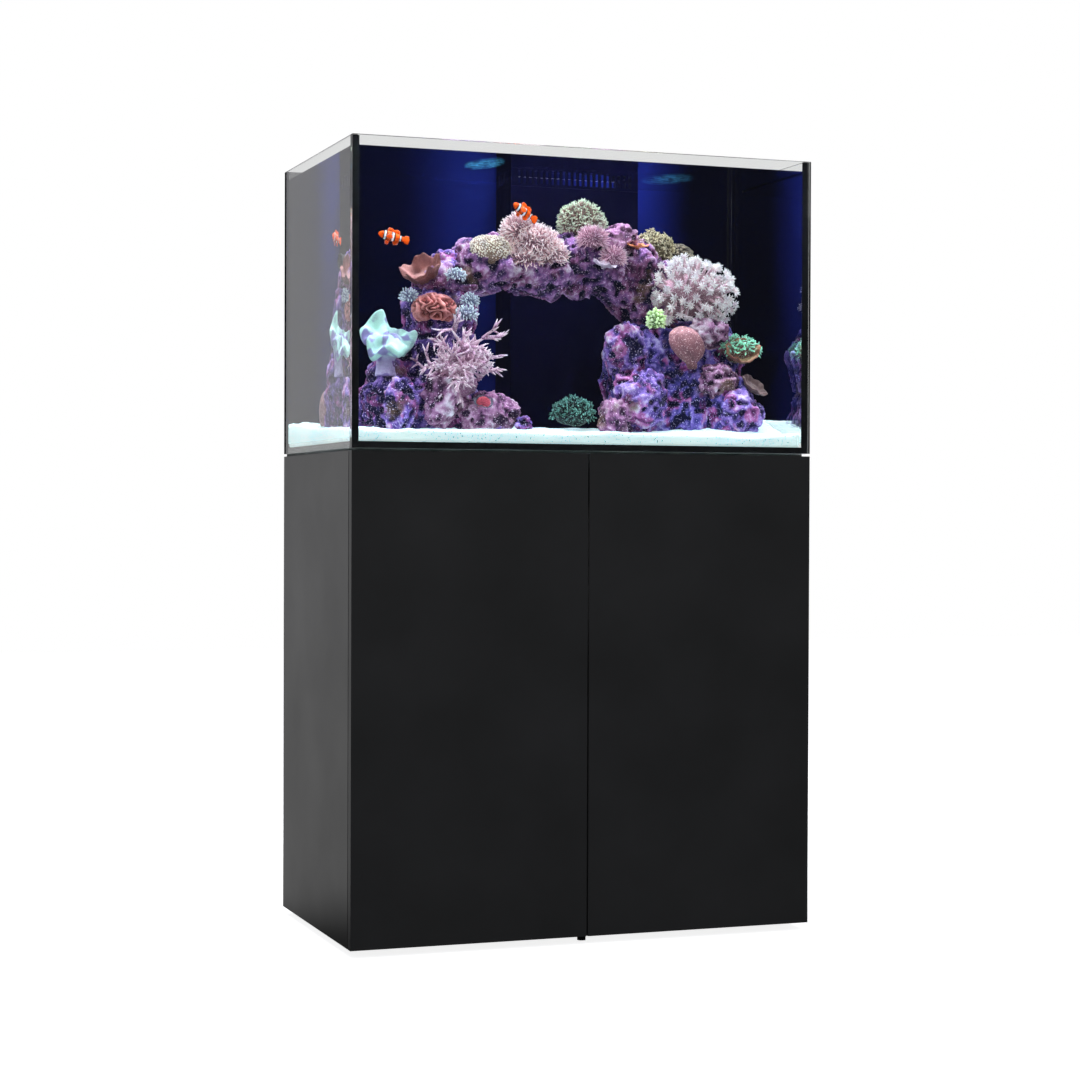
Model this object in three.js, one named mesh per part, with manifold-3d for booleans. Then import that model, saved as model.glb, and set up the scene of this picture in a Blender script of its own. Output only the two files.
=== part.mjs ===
// Reef aquarium on a two-door cabinet, in millimetres.
// Origin on the floor under the middle of the cabinet, +X to the viewer's right, -Y to the front, +Z up.
import * as THREE from 'three';
import { mergeVertices } from 'three/addons/utils/BufferGeometryUtils.js';
import Module from 'manifold-3d';

const wasm = await Module();
wasm.setup();

// Overall sizes
const WIDTH = 900;
const DEPTH = 500;
const HEIGHT = 1460;
const CABINET_TOP = 901;
const FOOT_HEIGHT = 14;
const MAT_THICKNESS = 5;

// Cabinet
const BOARD = 18;
const BACK_BOARD = 12;
const DOOR_REVEAL = 3;
const RAIL_HEIGHT = 80;
const CUTOUT_WIDTH = 400;
const CUTOUT_HEIGHT = 240;
const CUTOUT_DROP = 85;
const CORNER_FOOT_RADIUS = 20;
const FRONT_FOOT_RADIUS = 8;
const HINGE_FROM_END = 130;
const CUP_RADIUS = 17.5;
const CUP_DEPTH = 11.5;
const CUP_SETBACK = 22.5;
const LATCH_FROM_MIDDLE = 24;
const LATCH_LENGTH = 76;
const PLUNGER_RADIUS = 4;

// Tank
const GLASS = 12;
const JOINT = 1.6;
const BEAD = 2.6;
const MAT_FRONT_INSET = 28;
const MAT_INSET = 3;
const MAT_BACK_INSET = 10;

// Overflow
const BOX_X = 72;
const BOX_WIDTH = 264;
const BOX_DEPTH = 120;
const BOX_WALL = 6;
const COMB_HEIGHT = 34;
const WATER_DROP = 18;
const SLOT_WIDTH = 6;
const SLOT_COUNT = 21;
const SIDE_SLOT_COUNT = 8;
const DRAIN_RADIUS = 16;
const RETURN_RADIUS = 12.5;
const PIPE_WALL = 2.4;
const PIPE_SPREAD = 60;
const BULKHEAD_WALL = 6;

// Sump
const SUMP_WIDTH = 620;
const SUMP_DEPTH = 330;
const SUMP_HEIGHT = 360;
const SUMP_GLASS = 6;
const SOCK_CHAMBER = 150;
const SOCK_RADIUS = 50;
const SOCK_LENGTH = 210;
const SKIMMER_RADIUS = 62;

// Contents
const SAND_FRONT = 22;
const SAND_RISE = 26;

// Gap left between pieces that touch
const GAP = 0.3;

// The same for a pipe in a round hole, both drawn with flat sides
const FIT = 0.7;

const FRONT = -DEPTH / 2;
const BACK = DEPTH / 2;
const SIDE = WIDTH / 2;
const INNER_SIDE = SIDE - BOARD;
const DOOR_BACK = FRONT + BOARD;
const CARCASS_FRONT = DOOR_BACK + DOOR_REVEAL;
const BASE_TOP = FOOT_HEIGHT + BOARD;
const TOP_UNDERSIDE = CABINET_TOP - BOARD;
const TANK_BASE = CABINET_TOP + MAT_THICKNESS;
const TANK_FLOOR = TANK_BASE + GLASS;
const PANE_FRONT = FRONT + GLASS;
const PANE_BACK = BACK - GLASS;
const PANE_SIDE = SIDE - GLASS;
const WATER_LEVEL = HEIGHT - WATER_DROP;
const BOX_FRONT = PANE_BACK - BOX_DEPTH;
const WALL_TOP = WATER_LEVEL - WATER_DROP;
const PIPE_Y = PANE_BACK - BOX_DEPTH / 2;
const DRAIN_X = BOX_X + PIPE_SPREAD;
const RETURN_X = BOX_X - PIPE_SPREAD;
const SUMP_LEFT = -SUMP_WIDTH / 2;
const SUMP_FRONT = -SUMP_DEPTH / 2;
const SUMP_FLOOR = BASE_TOP + GAP + SUMP_GLASS;
const SUMP_TOP = BASE_TOP + SUMP_HEIGHT;
const SHELF_Z = SUMP_TOP - 50;
const BAFFLE_X = SUMP_WIDTH / 2 - SUMP_GLASS - SOCK_CHAMBER;
const SOCK_X = BAFFLE_X + SOCK_CHAMBER / 2;
const SOCK_Y = 40;
const PUMP_X = SUMP_LEFT + 85;
const PUMP_Y = 30;
const SKIMMER_X = -20;

// The reef is drawn for a tank of these inner sizes and stretched to the tank it stands in.
const REEF_SIZE = [876, 476, 542];
const REEF_SCALE = [2 * PANE_SIDE, PANE_BACK - PANE_FRONT, HEIGHT - TANK_FLOOR]
  .map((s, i) => s / REEF_SIZE[i]);

// Solids

function solid(geometry) {
  const g = geometry.index ? geometry.clone() : geometry;
  g.deleteAttribute('normal');
  g.deleteAttribute('uv');
  const merged = mergeVertices(g, 1e-4);
  const mesh = new wasm.Mesh({
    numProp: 3,
    vertProperties: new Float32Array(merged.attributes.position.array),
    triVerts: new Uint32Array(merged.index.array),
  });
  mesh.merge();
  return new wasm.Manifold(mesh);
}

function block(x0, x1, y0, y1, z0, z1) {
  const g = new THREE.BoxGeometry(x1 - x0, y1 - y0, z1 - z0);
  g.translate((x0 + x1) / 2, (y0 + y1) / 2, (z0 + z1) / 2);
  return solid(g);
}

function drum(x, y, z0, z1, radius, sides = 16) {
  const g = new THREE.CylinderGeometry(radius, radius, z1 - z0, sides);
  g.rotateX(Math.PI / 2);
  g.translate(x, y, (z0 + z1) / 2);
  return solid(g);
}

function drumAlongY(x, z, y0, y1, radius, sides = 16) {
  const g = new THREE.CylinderGeometry(radius, radius, y1 - y0, sides);
  g.translate(x, (y0 + y1) / 2, z);
  return solid(g);
}

function drumAlongX(y, z, x0, x1, radius, sides = 16) {
  const g = new THREE.CylinderGeometry(radius, radius, x1 - x0, sides);
  g.rotateZ(Math.PI / 2);
  g.translate((x0 + x1) / 2, y, z);
  return solid(g);
}

// A profile of [radius, height] pairs, going round it anticlockwise, turned about a vertical axis at x, y.
function turned(x, y, profile, sides = 16) {
  const points = profile.map(([r, z]) => new THREE.Vector2(r, z));
  if (profile[0][0] > 0) points.push(points[0].clone());
  const g = new THREE.LatheGeometry(points, sides);
  g.rotateX(Math.PI / 2);
  g.translate(x, y, 0);
  return solid(g);
}

function pipe(x, y, z0, z1, radius, wall = PIPE_WALL) {
  return turned(x, y, [[radius - wall, z0], [radius, z0], [radius, z1], [radius - wall, z1]], 16);
}

// A straight-legged path through the points, with each inner corner rounded by two short chords.
function bentPath(points, bend) {
  const path = new THREE.CurvePath();
  let from = points[0];
  for (let i = 1; i < points.length - 1; i += 1) {
    const corner = points[i];
    const before = corner.clone().add(points[i - 1].clone().sub(corner).setLength(bend));
    const after = corner.clone().add(points[i + 1].clone().sub(corner).setLength(bend));
    path.add(new THREE.LineCurve3(from, before));
    path.add(new THREE.QuadraticBezierCurve3(before, corner, after));
    from = after;
  }
  path.add(new THREE.LineCurve3(from, points[points.length - 1]));
  return path;
}

// A hollow pipe swept along a bent path; the steps fall on the ends of the legs and inside the bends.
function bentPipe(points, radius, bend, wall = PIPE_WALL) {
  const path = bentPath(points.map((p) => new THREE.Vector3(...p)), bend);
  const stops = [];
  for (const curve of path.curves) {
    const steps = curve.isLineCurve3 ? 1 : 3;
    for (let i = 0; i < steps; i += 1) stops.push(curve.getPoint(i / steps));
  }
  stops.push(path.curves[path.curves.length - 1].getPoint(1));
  const outer = sweep(stops, radius);
  const inner = sweep(stops, radius - wall, GAP);
  return outer.subtract(inner);
}

// A round bar through the stops, run past both ends by the overrun.
function sweep(stops, radius, overrun = 0) {
  const line = stops.map((p) => p.clone());
  const last = line.length - 1;
  line[0].add(stops[0].clone().sub(stops[1]).setLength(overrun));
  line[last].add(stops[last].clone().sub(stops[last - 1]).setLength(overrun));
  const sides = 12;
  const rings = line.map((p, i) => ring(line, i, radius, sides));
  const position = rings.flat().flatMap((p) => [p.x, p.y, p.z]);
  const index = [];
  for (let i = 0; i < last; i += 1) {
    for (let k = 0; k < sides; k += 1) {
      const a = i * sides + k;
      const b = i * sides + (k + 1) % sides;
      index.push(a, b, b + sides, a, b + sides, a + sides);
    }
  }
  for (let k = 1; k < sides - 1; k += 1) {
    index.push(0, k + 1, k);
    index.push(last * sides, last * sides + k, last * sides + k + 1);
  }
  const g = new THREE.BufferGeometry();
  g.setAttribute('position', new THREE.Float32BufferAttribute(position, 3));
  g.setIndex(index);
  return solid(g);
}

// The ring of points round one stop, square to the path and carried along it without twist.
function ring(line, i, radius, sides) {
  let side = Math.abs(tangent(line, 0).x) < 0.9 ? new THREE.Vector3(1, 0, 0) : new THREE.Vector3(0, 1, 0);
  for (let k = 0; k <= i; k += 1) {
    const t = tangent(line, k);
    side = side.clone().addScaledVector(t, -side.dot(t)).normalize();
  }
  const along = tangent(line, i);
  const across = along.clone().cross(side);
  return Array.from({ length: sides }, (_, k) => {
    const angle = 2 * Math.PI * k / sides;
    return line[i].clone()
      .addScaledVector(side, radius * Math.cos(angle))
      .addScaledVector(across, radius * Math.sin(angle));
  });
}

function tangent(line, i) {
  const before = line[Math.max(i - 1, 0)];
  const after = line[Math.min(i + 1, line.length - 1)];
  return after.clone().sub(before).normalize();
}

function join(parts) {
  return parts.reduce((whole, part) => whole.add(part));
}

// Left and right pieces are the same shape, mirrored about the middle plane.
function mirrored(piece, side) {
  return side > 0 ? piece.mirror([1, 0, 0]) : piece;
}

// Cabinet

function sidePanel(side) {
  return mirrored(block(-SIDE, -INNER_SIDE, CARCASS_FRONT, BACK, FOOT_HEIGHT, CABINET_TOP), side);
}

function footSpots() {
  return {
    foot_front_left: [-390, FRONT + 110, CORNER_FOOT_RADIUS],
    foot_front_right: [390, FRONT + 110, CORNER_FOOT_RADIUS],
    foot_rear_left: [-390, BACK - 60, CORNER_FOOT_RADIUS],
    foot_rear_right: [390, BACK - 60, CORNER_FOOT_RADIUS],
    foot_front_centre: [5, FRONT + 43, FRONT_FOOT_RADIUS],
  };
}

function basePanel() {
  const x = INNER_SIDE - GAP;
  const panel = block(-x, x, CARCASS_FRONT, BACK, FOOT_HEIGHT, BASE_TOP);
  const holes = Object.values(footSpots())
    .map(([fx, fy]) => drum(fx, fy, FOOT_HEIGHT - 1, BASE_TOP - 4, 4.3, 12));
  return panel.subtract(join(holes));
}

// A round pad on the floor with a threaded stem in the base panel.
function foot([x, y, radius]) {
  const top = FOOT_HEIGHT - GAP;
  return turned(x, y, [
    [0, 0], [radius, 0], [radius, 6], [Math.min(7, radius), 8], [Math.min(7, radius), top],
    [4, top], [4, top + 12], [0, top + 12],
  ], 12);
}

function topPanel() {
  const x = INNER_SIDE - GAP;
  const panel = block(-x, x, CARCASS_FRONT, BACK, TOP_UNDERSIDE, CABINET_TOP);
  return panel.subtract(join(pipeHoles(36, TOP_UNDERSIDE - 1, CABINET_TOP + 1)));
}

function pipeHoles(radius, z0, z1) {
  return [DRAIN_X, RETURN_X].map((x) => drum(x, PIPE_Y, z0, z1, radius, 20));
}

function backPanel() {
  const x = INNER_SIDE - GAP;
  const top = TOP_UNDERSIDE - GAP;
  const cutTop = top - CUTOUT_DROP;
  const panel = block(-x, x, BACK - BACK_BOARD, BACK, BASE_TOP + GAP, top);
  const cut = block(-CUTOUT_WIDTH / 2, CUTOUT_WIDTH / 2, 0, SIDE, cutTop - CUTOUT_HEIGHT, cutTop);
  return panel.subtract(cut);
}

function frontRail() {
  const x = INNER_SIDE - GAP;
  const top = TOP_UNDERSIDE - GAP;
  return block(-x, x, CARCASS_FRONT, CARCASS_FRONT + BOARD, top - RAIL_HEIGHT, top);
}

function hingeLevels() {
  return [FOOT_HEIGHT + HINGE_FROM_END, CABINET_TOP - HINGE_FROM_END];
}

// The door's back is bored for the hinge cups.
function door(side) {
  const x = -SIDE + CUP_SETBACK;
  const panel = block(-SIDE, -DOOR_REVEAL / 2, FRONT, DOOR_BACK, FOOT_HEIGHT, CABINET_TOP);
  const bores = hingeLevels().map((z) =>
    drumAlongY(x, z, DOOR_BACK - CUP_DEPTH - GAP, DOOR_BACK + 1, CUP_RADIUS + GAP, 20));
  return mirrored(panel.subtract(join(bores)), side);
}

// Cup sunk in the door, with a flange and two screw wings on the door's back.
function hingeCup(side, z) {
  const x = -SIDE + CUP_SETBACK;
  const face = DOOR_BACK + GAP;
  const cup = drumAlongY(x, z, DOOR_BACK - CUP_DEPTH, face + 1.2, CUP_RADIUS, 20);
  const wings = block(x - 8, x + 9, face, face + 1.2, z - 26, z + 26);
  const hollow = drumAlongY(x, z, DOOR_BACK - CUP_DEPTH + 1.5, face + 2, CUP_RADIUS - 2, 20);
  return mirrored(cup.add(wings).subtract(hollow), side);
}

// Mounting plate on the side panel and the arm that reaches into the cup.
function hingeArm(side, z) {
  const wall = -INNER_SIDE + GAP;
  const plate = block(wall, wall + 3, CARCASS_FRONT + 18, CARCASS_FRONT + 50, z - 26, z + 26);
  const arm = block(wall, wall + 14, CARCASS_FRONT + 0.5, CARCASS_FRONT + 66, z - 8, z + 8);
  const nose = block(wall + 6, wall + 13, DOOR_BACK - 6, CARCASS_FRONT + 4, z - 5, z + 5);
  const screws = [-18, 18].map((dz) => drumAlongX(CARCASS_FRONT + 34, z + dz, wall + 2, wall + 5, 5, 10));
  return mirrored(join([plate, arm, nose, ...screws]), side);
}

function latchZ() {
  return TOP_UNDERSIDE - GAP - RAIL_HEIGHT - GAP - 8;
}

// Push-to-open latch: a housing under the front rail with a blind bore for the plunger.
function latchHousing(side) {
  const x = -LATCH_FROM_MIDDLE;
  const z = latchZ();
  const front = CARCASS_FRONT + GAP;
  const body = block(x - 8, x + 8, front, front + LATCH_LENGTH, z - 8, z + 8);
  const bore = drumAlongY(x, z, front - 1, front + LATCH_LENGTH - 10, PLUNGER_RADIUS + 0.2, 16);
  return mirrored(body.subtract(bore), side);
}

function latchPlunger(side) {
  const x = -LATCH_FROM_MIDDLE;
  const end = CARCASS_FRONT + LATCH_LENGTH - 16;
  return mirrored(drumAlongY(x, latchZ(), DOOR_BACK + GAP, end, PLUNGER_RADIUS, 16), side);
}

// Tank

function foamMat() {
  const mat = block(
    -SIDE + MAT_INSET, SIDE - MAT_INSET, FRONT + MAT_FRONT_INSET, BACK - MAT_BACK_INSET,
    CABINET_TOP + GAP, TANK_BASE - GAP,
  );
  return mat.subtract(join(pipeHoles(36, CABINET_TOP - 1, TANK_BASE + 1)));
}

function bottomGlass() {
  const x = PANE_SIDE - JOINT;
  const pane = block(-x, x, PANE_FRONT + JOINT, PANE_BACK - JOINT, TANK_BASE, TANK_FLOOR);
  return pane.subtract(join([
    drum(DRAIN_X, PIPE_Y, TANK_BASE - 1, TANK_FLOOR + 1, DRAIN_RADIUS + BULKHEAD_WALL + 1.4, 20),
    drum(RETURN_X, PIPE_Y, TANK_BASE - 1, TANK_FLOOR + 1, RETURN_RADIUS + BULKHEAD_WALL + 1.4, 20),
  ]));
}

function frontGlass() {
  return block(-SIDE, SIDE, FRONT, PANE_FRONT, TANK_BASE, HEIGHT);
}

function rearGlass() {
  return block(-SIDE, SIDE, PANE_BACK, BACK, TANK_BASE, HEIGHT);
}

function sideGlass(side) {
  return mirrored(block(-SIDE, -PANE_SIDE, PANE_FRONT + JOINT, PANE_BACK - JOINT, TANK_BASE, HEIGHT), side);
}

// The black silicone of every glass joint, one frame: four uprights with an inner bead and four strips
// round the bottom pane.
function seamSilicone() {
  const outer = SIDE - GAP;
  const inner = PANE_SIDE - JOINT + GAP;
  const skin = JOINT - 2 * GAP;
  const y0 = PANE_FRONT + GAP;
  const y1 = PANE_BACK - GAP;
  const z0 = TANK_BASE + GAP;
  const top = HEIGHT - 1;
  const parts = [];
  for (const s of [-1, 1]) {
    const xs = [s * outer, s * inner].sort((a, b) => a - b);
    const edge = [s * inner, s * (inner + skin)].sort((a, b) => a - b);
    parts.push(block(xs[0], xs[1], y0, y0 + skin, z0, top));
    parts.push(block(xs[0], xs[1], y1 - skin, y1, z0, top));
    parts.push(block(edge[0], edge[1], y0, y1, z0, TANK_FLOOR));
    parts.push(cornerBead(s, -1, top), cornerBead(s, 1, top));
  }
  parts.push(block(-outer, outer, y0, y0 + skin, z0, TANK_FLOOR));
  parts.push(block(-outer, outer, y1 - skin, y1, z0, TANK_FLOOR));
  return join(parts);
}

function cornerBead(sx, sy, top) {
  const x = sx * (PANE_SIDE - GAP);
  const y = sy < 0 ? PANE_FRONT + GAP : PANE_BACK - GAP;
  const shape = new THREE.Shape();
  shape.moveTo(x, y);
  shape.lineTo(x - sx * BEAD, y);
  shape.lineTo(x, y - sy * BEAD);
  shape.closePath();
  const g = new THREE.ExtrudeGeometry(shape, { depth: top - TANK_FLOOR - GAP, bevelEnabled: false });
  g.translate(0, 0, TANK_FLOOR + GAP);
  return solid(g);
}

// Overflow

function boxOutline(inset, z0, z1) {
  const x = BOX_WIDTH / 2 - inset;
  return block(BOX_X - x, BOX_X + x, BOX_FRONT + inset, PANE_BACK - GAP, z0, z1);
}

function weirBox() {
  const hole = drumAlongX(PIPE_Y, RISER_TOP, BOX_X - BOX_WIDTH / 2 - 1, BOX_X, RETURN_RADIUS + FIT, 20);
  const inside = block(
    BOX_X - BOX_WIDTH / 2 + BOX_WALL, BOX_X + BOX_WIDTH / 2 - BOX_WALL, BOX_FRONT + BOX_WALL, BACK, 0, HEIGHT,
  );
  return boxOutline(0, TANK_FLOOR + GAP, WALL_TOP).subtract(inside).subtract(hole);
}

// A slotted strip round the top of the box, with a lip that hooks inside its walls.
function weirComb() {
  const top = WALL_TOP + COMB_HEIGHT;
  const strip = boxOutline(0, WALL_TOP + GAP, top).subtract(openInside(4, top));
  const lip = boxOutline(BOX_WALL + GAP, WALL_TOP - 20, WALL_TOP + 3);
  const collar = boxOutline(3, WALL_TOP + GAP, WALL_TOP + 3);
  const hook = lip.add(collar).subtract(openInside(BOX_WALL + GAP + 2.5, top));
  return strip.add(hook).subtract(join(combSlots(top)));
}

function openInside(wall, top) {
  const x = BOX_WIDTH / 2 - wall;
  return block(BOX_X - x, BOX_X + x, BOX_FRONT + wall, BACK, TANK_FLOOR, top + 1);
}

function combSlots(top) {
  const z0 = WALL_TOP + 6;
  const z1 = top - 5;
  const slots = [];
  const run = BOX_WIDTH - 24;
  for (let i = 0; i < SLOT_COUNT; i += 1) {
    const x = BOX_X - run / 2 + run * (i + 0.5) / SLOT_COUNT;
    slots.push(block(x - SLOT_WIDTH / 2, x + SLOT_WIDTH / 2, BOX_FRONT - 1, BOX_FRONT + 5, z0, z1));
  }
  const sideRun = BOX_DEPTH - 24;
  for (let i = 0; i < SIDE_SLOT_COUNT; i += 1) {
    const y = BOX_FRONT + 12 + sideRun * (i + 0.5) / SIDE_SLOT_COUNT;
    slots.push(block(BOX_X - SIDE, BOX_X + SIDE, y - SLOT_WIDTH / 2, y + SLOT_WIDTH / 2, z0, z1));
  }
  return slots;
}

// A threaded body through the bottom pane, with a flange above it and a nut below.
function bulkhead(x, radius) {
  const bore = radius + FIT;
  const body = radius + BULKHEAD_WALL;
  return turned(x, PIPE_Y, [
    [bore, TANK_BASE - 40], [body, TANK_BASE - 40], [body, TANK_BASE - 18], [body + 8, TANK_BASE - 18],
    [body + 8, TANK_BASE - GAP], [body, TANK_BASE - GAP], [body, TANK_FLOOR + GAP],
    [body + 7, TANK_FLOOR + GAP], [body + 7, TANK_FLOOR + 7], [bore, TANK_FLOOR + 7],
  ]);
}

const STANDPIPE_TOP = WALL_TOP - 24;
const RISER_TOP = WALL_TOP - 142;
const NOZZLE_PLAY = 0.9;
const NOZZLE_INSET = 2;
const NOZZLE_WALL = 4.2;
const NOZZLE_REACH = 46;
const NOZZLE_MOUTH = 17;

// Drain standpipe: an upright pipe with a side branch turned down, so that no air is drawn in.
function drainStandpipe() {
  const inlet = STANDPIPE_TOP - 44;
  const branch = [
    [DRAIN_X, PIPE_Y, inlet], [DRAIN_X + 42, PIPE_Y, inlet], [DRAIN_X + 42, PIPE_Y, inlet - 52],
  ];
  const upright = drum(DRAIN_X, PIPE_Y, TANK_BASE + 2, STANDPIPE_TOP, DRAIN_RADIUS, 16);
  const cap = drum(DRAIN_X, PIPE_Y, STANDPIPE_TOP - 14, STANDPIPE_TOP, DRAIN_RADIUS + 3, 16);
  const bore = drum(DRAIN_X, PIPE_Y, TANK_BASE, STANDPIPE_TOP - 4, DRAIN_RADIUS - PIPE_WALL, 16);
  const air = drum(DRAIN_X, PIPE_Y, STANDPIPE_TOP - 6, STANDPIPE_TOP + 1, 2, 8);
  const arm = bentPipe(branch, DRAIN_RADIUS - 1, 20);
  const way = drumAlongX(PIPE_Y, inlet, DRAIN_X, DRAIN_X + DRAIN_RADIUS + 2, DRAIN_RADIUS - PIPE_WALL - 1, 14);
  return upright.add(cap).add(arm).subtract(bore).subtract(way).subtract(air);
}

function nozzleX() {
  return BOX_X - BOX_WIDTH / 2 - 14;
}

// Return riser: up inside the box and out through its left wall, ending in a round socket.
function returnRiser() {
  const path = [
    [RETURN_X, PIPE_Y, TANK_BASE + 2], [RETURN_X, PIPE_Y, RISER_TOP], [nozzleX(), PIPE_Y, RISER_TOP],
  ];
  return bentPipe(path, RETURN_RADIUS, 26);
}

// Flared nozzle whose ball sits in the riser's open end, so that it can swivel.
function returnNozzle() {
  const ball = RETURN_RADIUS - PIPE_WALL - NOZZLE_PLAY;
  const bore = ball - NOZZLE_WALL;
  const rounding = [-50, -25, 0, 25, 44].map((angle) => [
    ball * Math.cos(THREE.MathUtils.degToRad(angle)), ball * Math.sin(THREE.MathUtils.degToRad(angle)),
  ]);
  const neck = rounding[rounding.length - 1];
  const nozzle = turned(0, 0, [
    [bore, rounding[0][1]], ...rounding, [neck[0], neck[1] + 2], [15, 14], [13, 24],
    [NOZZLE_MOUTH, NOZZLE_REACH], [NOZZLE_MOUTH - 1.5, NOZZLE_REACH], [10, 24], [bore, 12],
  ]);
  return nozzle.rotate([0, -90, 0]).translate([nozzleX() + NOZZLE_INSET, PIPE_Y, RISER_TOP]);
}

// Plumbing under the tank

const VALVE_TOP = CABINET_TOP - 190;
const VALVE_HEIGHT = 70;

function drainPipeUpper() {
  return pipe(DRAIN_X, PIPE_Y, VALVE_TOP - 18, TANK_BASE - 8, DRAIN_RADIUS);
}

function gateValve() {
  const z0 = VALVE_TOP - VALVE_HEIGHT;
  const mid = VALVE_TOP - VALVE_HEIGHT / 2;
  const body = drum(DRAIN_X, PIPE_Y, z0, VALVE_TOP, DRAIN_RADIUS + 8, 16);
  const bonnet = drumAlongY(DRAIN_X, mid, PIPE_Y - 62, PIPE_Y, 17, 16);
  const nut = drumAlongY(DRAIN_X, mid, PIPE_Y - 40, PIPE_Y - 30, 21, 6);
  const bore = drum(DRAIN_X, PIPE_Y, z0 - 1, VALVE_TOP + 1, DRAIN_RADIUS + FIT, 16);
  const stem = drumAlongY(DRAIN_X, mid, PIPE_Y - 63, PIPE_Y - 34, 5.2, 12);
  return join([body, bonnet, nut]).subtract(bore).subtract(stem);
}

function valveHandwheel() {
  const z = VALVE_TOP - VALVE_HEIGHT / 2;
  const y = PIPE_Y - 62;
  const stem = drumAlongY(DRAIN_X, z, y - 14, y + 24, 5, 12);
  const rim = drumAlongY(DRAIN_X, z, y - 16, y - 8, 30, 18);
  const hollow = drumAlongY(DRAIN_X, z, y - 17, y - 7, 24, 18);
  const hub = drumAlongY(DRAIN_X, z, y - 16, y - 6, 9, 12);
  const spokes = [0, 60, 120].map((angle) => {
    const bar = block(-27, 27, y - 14, y - 10, -3, 3).rotate([0, angle, 0]);
    return bar.translate([DRAIN_X, 0, z]);
  });
  return join([rim.subtract(hollow), hub, stem, ...spokes]);
}

function drainPipeLower() {
  const z0 = VALVE_TOP - VALVE_HEIGHT;
  return bentPipe([
    [DRAIN_X, PIPE_Y, z0 + 18], [DRAIN_X, PIPE_Y, z0 - 40],
    [SOCK_X, SOCK_Y, z0 - 100], [SOCK_X, SOCK_Y, SHELF_Z - 40],
  ], DRAIN_RADIUS, 24);
}

function returnPipe() {
  return bentPipe([
    [PUMP_X, PUMP_Y, SUMP_FLOOR + 106], [PUMP_X, PUMP_Y, SUMP_TOP + 200],
    [RETURN_X, PIPE_Y, SUMP_TOP + 330], [RETURN_X, PIPE_Y, TANK_BASE - 8],
  ], RETURN_RADIUS, 40);
}

// Sump

function sumpTank() {
  const outer = block(SUMP_LEFT, -SUMP_LEFT, SUMP_FRONT, -SUMP_FRONT, BASE_TOP + GAP, SUMP_TOP);
  const inner = block(
    SUMP_LEFT + SUMP_GLASS, -SUMP_LEFT - SUMP_GLASS, SUMP_FRONT + SUMP_GLASS, -SUMP_FRONT - SUMP_GLASS,
    SUMP_FLOOR, SUMP_TOP + 1,
  );
  return outer.subtract(inner);
}

function sumpBaffle(x, low, high) {
  const y = -SUMP_FRONT - SUMP_GLASS - GAP;
  return block(x - SUMP_GLASS, x, -y, y, SUMP_FLOOR + low, high);
}

function sockShelf() {
  const y = -SUMP_FRONT - SUMP_GLASS - GAP;
  const plate = block(BAFFLE_X + GAP, -SUMP_LEFT - SUMP_GLASS - GAP, -y, y, SHELF_Z, SHELF_Z + SUMP_GLASS);
  return plate.subtract(drum(SOCK_X, SOCK_Y, SHELF_Z - 1, SHELF_Z + 10, SOCK_RADIUS + 2, 24));
}

// A felt bag hung by its ring on the shelf.
function filterSock() {
  const top = SHELF_Z + SUMP_GLASS + GAP;
  const r = SOCK_RADIUS;
  return turned(SOCK_X, SOCK_Y, [
    [0, top - SOCK_LENGTH], [r * 0.6, top - SOCK_LENGTH + 4], [r, top - SOCK_LENGTH + 26], [r, top],
    [r + 9, top], [r + 9, top + 5], [r - 3, top + 5], [r - 3, top - SOCK_LENGTH + 27],
    [r * 0.58, top - SOCK_LENGTH + 7], [0, top - SOCK_LENGTH + 3],
  ]);
}

function returnPump() {
  const z = SUMP_FLOOR + GAP;
  const body = block(PUMP_X - 38, PUMP_X + 38, PUMP_Y - 90, PUMP_Y + 10, z, z + 78);
  const volute = drumAlongY(PUMP_X, z + 40, PUMP_Y - 8, PUMP_Y + 24, 40, 18);
  const outlet = drum(PUMP_X, PUMP_Y, z + 60, z + 116, RETURN_RADIUS + 5, 16);
  const bore = drum(PUMP_X, PUMP_Y, z + 100, z + 118, RETURN_RADIUS + FIT, 16);
  const inlet = drumAlongY(PUMP_X, z + 40, PUMP_Y + 20, PUMP_Y + 42, 20, 16);
  const mouth = drumAlongY(PUMP_X, z + 40, PUMP_Y + 30, PUMP_Y + 44, 16, 16);
  return join([body, volute, outlet, inlet]).subtract(bore).subtract(mouth);
}

function skimmerNeck() {
  return SUMP_TOP - 20;
}

// Protein skimmer: a bubble column that narrows to a neck, with its feed pump beside the foot.
function skimmerBody() {
  const z = SUMP_FLOOR + GAP;
  const r = SKIMMER_RADIUS;
  const neck = skimmerNeck();
  const column = turned(SKIMMER_X, 0, [
    [0, z], [r + 12, z], [r + 12, z + 8], [r, z + 12], [r, neck - 90], [34, neck - 20], [34, neck],
    [31, neck], [31, neck - 21], [r - 3, neck - 92], [r - 3, z + 14], [0, z + 14],
  ]);
  const pump = block(SKIMMER_X - r - 52, SKIMMER_X - r + 2, -26, 26, z, z + 58);
  return column.add(pump);
}

// The foam cup lifts off the neck; its riser tube stands inside it.
function skimmerCup() {
  const z = skimmerNeck() + GAP;
  return turned(SKIMMER_X, 0, [
    [29, z], [52, z], [52, z + 96], [56, z + 96], [56, z + 104], [49, z + 104],
    [49, z + 4], [32, z + 4], [32, z + 70], [29, z + 70],
  ]);
}

// Contents

// A smooth value between -1 and 1 for the bumps on rock.
function bump(x, y, z, seed) {
  return 0.5 * Math.sin(0.061 * x + 1.7 * seed) * Math.cos(0.053 * y - seed)
    + 0.3 * Math.sin(0.113 * z + 0.9 * x / 10 + seed)
    + 0.2 * Math.cos(0.17 * y + 0.12 * z - 2 * seed);
}

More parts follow.
